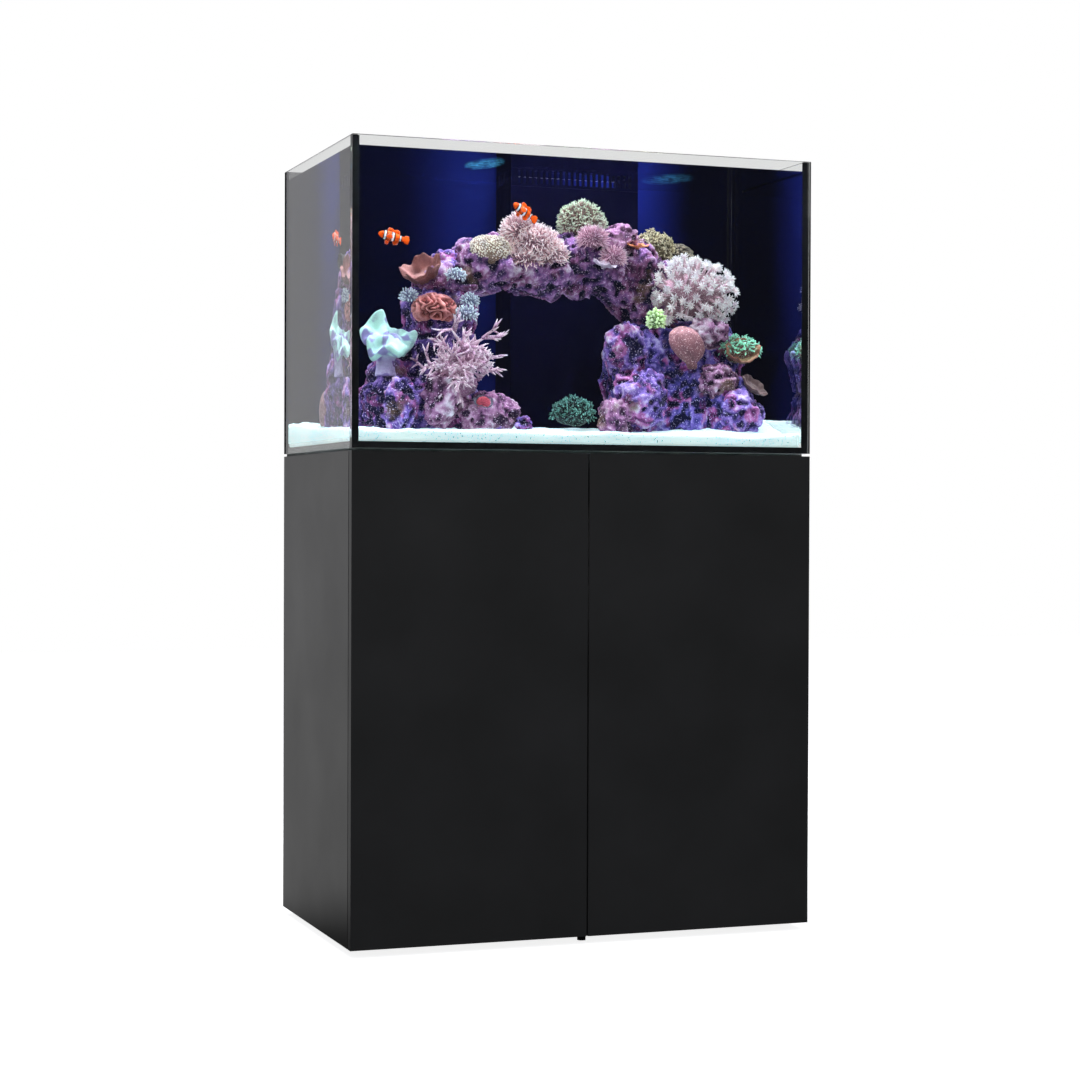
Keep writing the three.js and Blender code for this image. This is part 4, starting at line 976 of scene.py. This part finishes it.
bush_flesh = flesh("bush_flesh", (0.30, 0.16, 0.20), (0.74, 0.54, 0.58), (0.93, 0.97, 0.94), 0.11)
bush_points, bush_faces, bush_tips = pompons((0.272, -0.034, 1.214), (0.092, 0.064, 0.062), 150, 0.030, 12)
bush = piece("bush_coral_frilly", bush_points, bush_faces, bush_flesh, tip=bush_tips)
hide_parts("bush_coral")

torch_flesh = flesh("torch_flesh", (0.12, 0.060, 0.055), (0.34, 0.20, 0.17), (0.70, 0.88, 0.64), 0.05)
colony("torch_coral", (0.056, 0.010, 1.346), (0.045, 0.042, 0.036), 950, 0.0120, 0.00135, torch_flesh, 13,
       -0.5, sides=5, droop=0.7, bulb=1.5, core=0.84, lobes=0.12)
tuft_flesh = flesh("tuft_flesh", (0.30, 0.12, 0.20), (0.72, 0.40, 0.50), (0.95, 0.76, 0.82), 0.05)
colony("pink_tuft_upper", (0.062, -0.050, 1.312), (0.038, 0.028, 0.026), 420, 0.0135, 0.0011, tuft_flesh, 14,
       -0.6, sides=5, droop=0.2, bulb=0.7, core=0.60)
colony("pink_tuft_lower", (0.102, -0.058, 1.278), (0.030, 0.024, 0.024), 320, 0.0125, 0.0011, tuft_flesh, 15,
       -0.6, sides=5, droop=0.2, bulb=0.7, core=0.60)
green_tuft = flesh("green_tuft_flesh", (0.16, 0.30, 0.10), (0.55, 0.80, 0.30), (0.80, 1.0, 0.62), 0.16)
colony("yellow_green_tuft", (0.182, -0.084, 1.160), (0.020, 0.016, 0.025), 110, 0.0090, 0.0019,
       green_tuft, 16, -0.7, core=0.62, bulb=1.9)
cyan_tuft = flesh("cyan_tuft_flesh", (0.14, 0.15, 0.26), (0.46, 0.52, 0.62), (0.80, 0.95, 0.96), 0.05)
for tuft_name, tuft_place, tuft_size, tuft_count, tuft_length, tuft_seed in (
    ("left", (-0.302, -0.052, 1.190), (0.018, 0.016, 0.016), 110, 0.0085, 17),
    ("right", (-0.186, -0.060, 1.186), (0.020, 0.014, 0.012), 120, 0.0085, 18),
    ("lower", (-0.196, -0.076, 1.160), (0.026, 0.014, 0.014), 150, 0.0090, 19),
    ("upper", (-0.214, -0.062, 1.232), (0.024, 0.014, 0.012), 120, 0.0080, 30),
):
    colony(f"white_tuft_{tuft_name}", tuft_place, tuft_size, tuft_count, tuft_length, 0.0013, cyan_tuft,
           tuft_seed, -0.6, core=0.6, bulb=1.6)
teal_flesh = flesh("frogspawn_flesh", (0.004, 0.005, 0.010), (0.007, 0.010, 0.015), (0.09, 0.24, 0.20), 0.04,
                   (0.34, 0.72, 0.60), 420)
colony("frogspawn_coral", (0.017, -0.072, 0.979), (0.046, 0.040, 0.031), 420, 0.0110, 0.0020, teal_flesh, 20,
       -0.3, droop=0.5, core=0.74, bulb=1.4, lobes=0.14)


# ---------------------------------------------------------------- domes
# Stony domes grown onto the rock: a ridged cream dome, a folded salmon brain, a ruffled olive one and a
# warty maroon boulder.

def dome(name, centre, radii, made, seed, ridge, folds, rows=90, columns=150, low=-0.7, warp=0.5):
    """A dome with winding ridges: sine waves of noise, folds to the unit, raise it by ridge metres."""
    profile = [(math.cos(t), math.sin(t)) for t in np.linspace(math.asin(low), math.pi / 2, rows)]
    profile = [(0.0, low)] + profile[:-1] + [(0.0, 1.0)]
    store = {}

    def shape(r, h, a, s):
        p = np.stack([r * np.cos(a), r * np.sin(a), h], -1).reshape(-1, 3)
        wind = noise(p + seed, warp, seed, 2)
        wave = np.abs(np.sin(folds * wind + 2.0 * noise(p, 0.8, seed + 5, 1)))
        store["wave"] = wave
        out = p * np.array(radii) + np.array(centre)
        normal = p / np.array(radii)
        normal /= np.linalg.norm(normal, axis=1)[:, None]
        out = out + normal * (ridge * wave)[:, None]
        return out[:, 0].reshape(r.shape), out[:, 1].reshape(r.shape), out[:, 2].reshape(r.shape)

    points, faces, tips = turned_surface(profile, columns, shape)
    points[-2] = np.array(centre) + (0, 0, low * radii[2])
    tips = np.concatenate([store["wave"], [0.0, 0.7]])
    return piece(name, points, faces, made, tip=tips)


dome("brain_coral", (-0.254, -0.056, 1.168), (0.034, 0.027, 0.021),
     flesh("brain_flesh", (0.06, 0.008, 0.012), (0.34, 0.085, 0.080),
           (0.60, 0.24, 0.22), 0.05), 21, 0.0105, 4.6)
colony("cream_dome", (-0.139, -0.030, 1.282), (0.044, 0.036, 0.030), 900, 0.0045, 0.0016,
       flesh("cream_flesh", (0.28, 0.18, 0.12), (0.74, 0.62, 0.46), (1.0, 0.95, 0.82), 0.10), 22,
       -0.5, sides=5, droop=0.3, bulb=1.7, core=0.90, lobes=0.06)
olive_flesh = flesh("olive_flesh", (0.07, 0.050, 0.024), (0.27, 0.20, 0.11), (0.56, 0.52, 0.34), 0.03)
colony("olive_dome", (0.205, 0.026, 1.302), (0.046, 0.042, 0.036), 1200, 0.0050, 0.0015, olive_flesh, 23,
       -0.4, sides=5, droop=0.9, bulb=1.8, core=0.90, lobes=0.20)
umber_flesh = flesh("umber_flesh", (0.03, 0.024, 0.020), (0.11, 0.080, 0.060), (0.28, 0.24, 0.17), 0.02)
colony("olive_dome_side", (0.262, 0.034, 1.284), (0.040, 0.036, 0.034), 900, 0.0045, 0.0015, umber_flesh, 24,
       -0.4, sides=5, droop=0.9, bulb=1.8, core=0.90, lobes=0.22)
dome("maroon_boulder_coral", (-0.372, 0.012, 0.980), (0.030, 0.028, 0.036),
     flesh("maroon_flesh", (0.10, 0.035, 0.050), (0.24, 0.11, 0.13),
           (0.46, 0.28, 0.28), 0.02), 25, 0.0030, 22.0)


# ---------------------------------------------------------------- finger coral
# A pale pink thicket of forked, pointed branches on a short foot.

def thicket(root, reach, made, name, seed, stems=40, levels=3):
    """Forked branches that fan out from the root, each fork shorter and thinner than the last."""
    rng = np.random.default_rng(seed)
    starts, ways, lengths, widths = [], [], [], []

    def grow(start, way, length, width, level):
        starts.append(start)
        ways.append(way)
        lengths.append(length)
        widths.append(width)
        if level == 0:
            return
        for share in rng.uniform(0.35, 0.95, 3):
            turn = way + rng.normal(0, 0.55, 3)
            turn /= np.linalg.norm(turn)
            grow(start + way * length * share, turn, length * rng.uniform(0.5, 0.7), width * 0.74, level - 1)

    for _ in range(stems):
        way = rng.normal(0, 1, 3) * (1.0, 0.45, 0.62) + (0.16, -0.42, 0.42)
        way /= np.linalg.norm(way)
        grow(np.array(root) + rng.normal(0, 1, 3) * reach * 0.24, way, reach.mean() * rng.uniform(0.55, 0.9),
             0.0043, levels - 1)
    arms = tubes(*map(np.array, (starts, ways, lengths, widths)), 7, 0.12, 0.55, seed, 6)
    foot = mound(np.array(root) - (0, 0, reach[2] * 0.5), reach * (0.45, 0.6, 0.4), seed, 0.2)
    points, faces, tips = merged([foot, arms])
    return piece(name, points, faces, made, tip=tips)


thicket((-0.226, -0.104, 1.056), np.array([0.094, 0.030, 0.058]),
        flesh("finger_flesh", (0.30, 0.13, 0.24), (0.66, 0.44, 0.54),
              (0.98, 0.86, 0.90), 0.14), "finger_coral", 31)


# ---------------------------------------------------------------- plates and cups
# Thin shelves with wavy rims: a brown-pink plate, a dusty pink round lobe, a green hammer coral, a brown
# mushroom, a pale plate, an orange shelf and a red clam in its dark shell.

def plate(name, centre, radii, made, seed, tilt=(0.0, 0.0), cup=0.25, ruffle=0.12, thick=0.12, lobes=5):
    """A dished disc with a wavy rim, tilted by two angles; radii are its half sizes."""
    profile = smooth_profile([
        (0.0, -0.55), (0.16, -0.5), (0.2, -0.25), (0.6, -thick), (1.0, cup - 0.03), (1.04, cup + 0.03),
        (0.98, cup + 0.06), (0.6, 0.02), (0.2, 0.0), (0.0, 0.0),
    ], 48)

    def shape(r, h, a, s):
        rim = np.clip(r, 0, 1.1) ** 2
        wave = np.sin(lobes * a + seed) + 0.5 * np.sin((2 * lobes + 1) * a + 2 * seed)
        x, y = r * (1 + 0.08 * rim * np.sin(3 * a + seed)) * np.cos(a), r * np.sin(a)
        z = h + ruffle * rim * wave + 0.03 * np.sin(18 * r) * rim
        p = np.stack([x * radii[0], y * radii[1], z * radii[2]], -1).reshape(-1, 3)
        turn = np.array(Matrix.Rotation(tilt[0], 3, "X") @ Matrix.Rotation(tilt[1], 3, "Y"))
        p = p @ turn.T + np.array(centre)
        return p[:, 0].reshape(r.shape), p[:, 1].reshape(r.shape), p[:, 2].reshape(r.shape)

    around = 110
    points, faces, tips = turned_surface(profile, around, shape)
    points[-2] = points[:around].mean(0)
    points[-1] = points[-2 - around:-2].mean(0)
    return piece(name, points, faces, made, tip=tips)


plate("brown_plate", (-0.270, -0.040, 1.232), (0.040, 0.030, 0.050),
      flesh("brown_plate_flesh", (0.06, 0.022, 0.020), (0.24, 0.095, 0.085),
            (0.46, 0.24, 0.22), 0.03), 1, (0.6, -0.5),
      0.45)
plate("pale_plate", (0.076, -0.080, 1.262), (0.024, 0.018, 0.016),
      flesh("pale_plate_flesh", (0.30, 0.20, 0.30), (0.60, 0.48, 0.60),
            (0.82, 0.74, 0.82), 0.03), 2, (0.3, 0.2))
plate("orange_shelf", (0.150, -0.062, 1.302), (0.022, 0.016, 0.012),
      flesh("orange_flesh", (0.30, 0.06, 0.02), (0.62, 0.20, 0.08),
            (0.90, 0.44, 0.22), 0.07), 3, (0.2, 0.0))
plate("brown_mushroom", (0.376, -0.112, 1.036), (0.032, 0.024, 0.030),
      flesh("mushroom_flesh", (0.04, 0.025, 0.03), (0.12, 0.07, 0.07),
            (0.20, 0.13, 0.12), 0.01), 4, (0.7, 0.5),
      ruffle=0.06)
plate("red_clam", (-0.178, -0.134, 0.992), (0.020, 0.014, 0.016),
      flesh("clam_flesh", (0.03, 0.03, 0.05), (0.10, 0.10, 0.15),
            (0.34, 0.34, 0.42), 0.02), 5, (0.9, 0.1), 0.5)
dome("red_clam_mantle", (-0.178, -0.139, 0.994), (0.012, 0.008, 0.010),
     flesh("mantle_flesh", (0.16, 0.01, 0.03), (0.44, 0.04, 0.08),
           (0.66, 0.12, 0.16), 0.06), 27, 0.0016, 8.0)
lobe_line = smooth_profile([
    (0.0, 1.068), (0.010, 1.069), (0.012, 1.080), (0.026, 1.092), (0.034, 1.106), (0.035, 1.120),
    (0.030, 1.134), (0.019, 1.144), (0.006, 1.148), (0.0, 1.148),
], 60)
lobe_points, lobe_faces, lobe_tips = turned_surface(lobe_line, 90, lambda r, h, a, s: (
    0.244 - 0.25 * (h - 1.090) + r * (1 + 0.05 * np.sin(5 * a + 60 * h)) * np.cos(a),
    -0.112 + 0.62 * r * (1 + 0.05 * np.sin(4 * a)) * np.sin(a), h + 0.0010 * np.sin(9 * a + 200 * r)))
piece("pink_lobe_coral", lobe_points, lobe_faces,
      flesh("lobe_flesh", (0.14, 0.055, 0.065), (0.27, 0.115, 0.130),
            (0.38, 0.18, 0.19), 0.03, (0.72, 0.48, 0.47), 420),
      tip=lobe_tips)
hammer_flesh = flesh("hammer_flesh", (0.14, 0.05, 0.05), (0.20, 0.30, 0.18), (0.34, 0.88, 0.62), 0.13)
colony("hammer_coral", (0.362, -0.070, 1.106), (0.040, 0.032, 0.026), 420, 0.0100, 0.0019, hammer_flesh, 29,
       -0.1, droop=0.8, core=0.80, bulb=1.7, lobes=0.18)
plate("hammer_skeleton", (0.360, -0.086, 1.098), (0.036, 0.026, 0.040),
      flesh("skeleton_flesh", (0.22, 0.08, 0.05), (0.36, 0.14, 0.10),
            (0.34, 0.30, 0.16), 0.04), 6, (1.0, 0.0), 0.45)


# ---------------------------------------------------------------- loose rubble
# Smaller crusted stones that lie on the sand and lean on the big rocks.

def stone(name, centre, radii, made, seed):
    """A lumpy stone, made craggy like the big rocks."""
    points, faces, _ = mound(centre, radii, seed, 0.22, 70, 100)
    away = (points - np.array(centre)) / np.array(radii) ** 2
    away /= np.linalg.norm(away, axis=1)[:, None] + 1e-9
    points, proud = crag(points, away, seed, 0.75)
    return piece(name, points, faces, made, tip=proud)


# The stones take the rocks' finish, with painted shade in their pits and a painted highlight on their knobs.
violet_stone = rock_finish("violet_stone_crust_and_pit_shade", (0.008, 0.006, 0.040), (0.085, 0.050, 0.230),
                           (0.27, 0.16, 0.48), (0.62, 0.54, 0.74), 4)
rosy_stone = rock_finish("rosy_stone_crust_and_pit_shade", (0.022, 0.008, 0.030), (0.17, 0.060, 0.150), (0.40, 0.19, 0.34),
                         (0.72, 0.56, 0.66), 5)
for stone_name, stone_place, stone_size, stone_finish, stone_seed in (
    ("far_right", (0.344, -0.118, 0.982), (0.046, 0.040, 0.044), violet_stone, 41),
    ("right_shoulder", (0.306, -0.096, 1.046), (0.044, 0.034, 0.034), rosy_stone, 42),
    ("right_top", (0.292, -0.078, 1.138), (0.038, 0.030, 0.028), rosy_stone, 43),
    ("arch_top", (0.118, -0.036, 1.318), (0.034, 0.028, 0.026), rosy_stone, 44),
    ("arch_left", (-0.214, 0.000, 1.252), (0.036, 0.030, 0.026), violet_stone, 45),
    ("front_left", (-0.158, -0.108, 0.976), (0.056, 0.034, 0.038), rosy_stone, 46),
    ("left_foot", (-0.326, -0.104, 0.985), (0.034, 0.030, 0.044), violet_stone, 47),
    ("left_low", (-0.252, -0.112, 1.000), (0.034, 0.026, 0.046), rosy_stone, 48),
    ("centre_right", (0.092, -0.104, 0.972), (0.036, 0.032, 0.036), rosy_stone, 49),
    ("right_ledge", (0.150, -0.098, 1.008), (0.052, 0.038, 0.052), violet_stone, 50),
    ("small_front", (-0.096, -0.132, 0.956), (0.018, 0.015, 0.016), violet_stone, 52),
    ("right_pillar", (0.128, -0.060, 1.098), (0.040, 0.036, 0.052), violet_stone, 51),
):
    stone(f"stone_{stone_name}", stone_place, stone_size, stone_finish, stone_seed)


# ---------------------------------------------------------------- clownfish
# Two clownfish: a deep rounded body, three white bands edged in black, and rounded black-rimmed fins.

def fish_skin():
    """Orange with three white bands edged in black, placed by the band value along the body."""
    made, tree, shader = material("clownfish_skin")
    along = tree.nodes.new("ShaderNodeAttribute")
    along.attribute_name = "tip"
    orange, white, black = (0.80, 0.085, 0.001), (0.86, 0.89, 0.92), (0.002, 0.002, 0.003)
    stops = [
        (0.00, orange), (0.155, orange), (0.165, black), (0.19, black), (0.20, white), (0.25, white),
        (0.26, black), (0.29, black), (0.30, orange), (0.425, orange), (0.435, black), (0.465, black),
        (0.475, white), (0.54, white), (0.55, black), (0.585, black), (0.595, orange), (0.74, orange),
        (0.745, black), (0.76, black), (0.765, white), (0.80, white), (0.805, black), (0.82, black),
        (0.825, orange), (0.93, orange), (0.95, black), (1.0, black),
    ]
    shade = link_ramp(tree, along.outputs["Fac"], stops)
    scales = link_noise(tree, 1500, 2)
    shade = link_mix(tree, 1.0, shade, link_ramp(tree, scales, [(0.3, (0.8, 0.8, 0.8)), (0.6, (1, 1, 1))]),
                     "MULTIPLY")
    tree.links.new(shade, shader.inputs["Base Color"])
    tree.links.new(shade, shader.inputs["Emission Color"])
    # Painted light: the skin glows faintly in its own colour.
    shader.inputs["Emission Strength"].default_value = 0.05
    shader.inputs["Roughness"].default_value = 0.5
    shader.inputs["Specular IOR Level"].default_value = 0.08
    link_bump(tree, shader, scales, 0.0001)
    return made


def fin(outline, base, thick=0.0012):
    """A thin closed fin from its outline of (x, z) points and the band value at its root and rim."""
    outline = np.array(outline)
    middle = outline.mean(0)
    rings = []
    for share, half in ((1.0, 0.15), (0.8, 0.5), (0.4, 1.0)):
        flat = middle + (outline - middle) * share
        rings.append((flat, half * thick / 2, share))
    n = len(outline)
    points, tips = [], []
    for sign in (-1, 1):
        for flat, half, share in rings:
            points += [(x, sign * half, z) for x, z in flat]
            tips += [1.0 if share > 0.95 else base] * n
        points.append((middle[0], sign * thick / 2, middle[1]))
        tips.append(base)
    each = 3 * n + 1
    k = np.arange(n)
    k2 = (k + 1) % n
    quads, tris = [], []
    for side, flip in ((0, False), (each, True)):
        for ring in (0, 1):
            a, b = side + ring * n, side + (ring + 1) * n
            q = np.stack([a + k, a + k2, b + k2, b + k], -1)
            quads.append(q[:, ::-1] if flip else q)
        t = np.stack([side + 2 * n + k, side + 2 * n + k2, np.full(n, side + 3 * n)], -1)
        tris.append(t[:, ::-1] if flip else t)
    quads.append(np.stack([k, each + k, each + k2, k2], -1))
    return np.array(points, float), [np.concatenate(quads), np.concatenate(tris)], np.array(tips)


def clownfish(name, node, nose, tail, skin):
    """A fish from its nose to its tail's root; x runs from nose to tail in the fish's own frame."""
    length, around = 0.050, 26
    stations = np.linspace(0, 1, 46)[1:-1]
    height = np.interp(stations, [0, 0.08, 0.25, 0.45, 0.7, 0.88, 1.0],
                       [0.002, 0.0050, 0.0084, 0.0094, 0.0076, 0.0050, 0.0044])
    width = np.interp(stations, [0, 0.1, 0.3, 0.5, 0.8, 1.0],
                      [0.0015, 0.0036, 0.0056, 0.0054, 0.0026, 0.0009])
    angle = np.linspace(0, 2 * np.pi, around, endpoint=False)
    ring_y = np.cos(angle) * np.abs(np.cos(angle)) ** 0.1
    rings = np.stack([
        np.repeat((stations * length)[:, None], around, 1),
        width[:, None] * ring_y[None], height[:, None] * np.sin(angle)[None],
    ], -1)
    body = np.concatenate([rings.reshape(-1, 3), [(0, 0, 0)], [(length, 0, 0)]])
    count = len(stations)
    first, end = count * around, (count - 1) * around
    k = np.arange(around)
    k2 = (k + 1) % around
    caps = np.concatenate([
        np.stack([k, k2, np.full(around, first)], -1),
        np.stack([end + k2, end + k, np.full(around, first + 1)], -1),
    ])
    tips = np.concatenate([np.repeat(stations * 0.9, around), [0.0, 0.9]])
    quads = grid_faces(count, around, False, True)[:, ::-1]
    parts = [
        (body, [quads, caps], tips),
        fin([(0.047, -0.003), (0.053, -0.008), (0.060, -0.008), (0.062, 0.0), (0.060, 0.008), (0.053, 0.008),
             (0.047, 0.003)], 0.86),
        fin([(0.014, 0.009), (0.018, 0.0155), (0.025, 0.0150), (0.029, 0.0125), (0.035, 0.0150),
             (0.041, 0.0125), (0.042, 0.006), (0.028, 0.008)], 0.62),
        fin([(0.028, -0.008), (0.032, -0.0155), (0.040, -0.0125), (0.042, -0.005)], 0.62),
        fin([(0.014, -0.009), (0.015, -0.0165), (0.021, -0.0170), (0.024, -0.010)], 0.30),
    ]
    for sign in (-1, 1):
        p, f, t = fin([(0.013, 0.0), (0.018, 0.0050), (0.024, 0.0040), (0.026, -0.002), (0.021, -0.006),
                       (0.015, -0.004)], 0.32)
        p = p + (0, sign * 0.0078, -0.002)
        p[:, 1] += sign * (p[:, 0] - 0.013) * 0.45
        parts.append((p, f, t))
    points, faces, tips = merged(parts)
    nose, tail = Vector(nose), Vector(tail)
    along = (tail - nose).normalized()
    side = Vector((0, 0, 1)).cross(along).normalized()
    up = along.cross(side)
    turn = np.array([along, side, up])
    points = points @ turn + np.array(nose)
    made = piece(name, points, faces, skin, tip=tips)
    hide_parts(node)
    eyes = []
    for sign in (-1, 1):
        centre = np.array([0.0062, sign * 0.0030, 0.0022]) @ turn + np.array(nose)
        eyes.append(mound(centre, (0.0014, 0.0014, 0.0014), 1, 0.0, 10, 12))
    p, f, t = merged(eyes)
    piece(name + "_eyes", p, f, eye_black, tip=t)
    return made


skin = fish_skin()
eye_black, _, eye_shader = material("fish_eye")
eye_shader.inputs["Base Color"].default_value = (0.004, 0.004, 0.005, 1)
eye_shader.inputs["Roughness"].default_value = 0.08
clownfish("clownfish_near", "clownfish_left", (-0.353, -0.016, 1.308), (-0.302, -0.014, 1.298), skin)
clownfish("clownfish_over_anemone", "clownfish_right", (-0.103, -0.070, 1.370), (-0.062, -0.056, 1.346), skin)
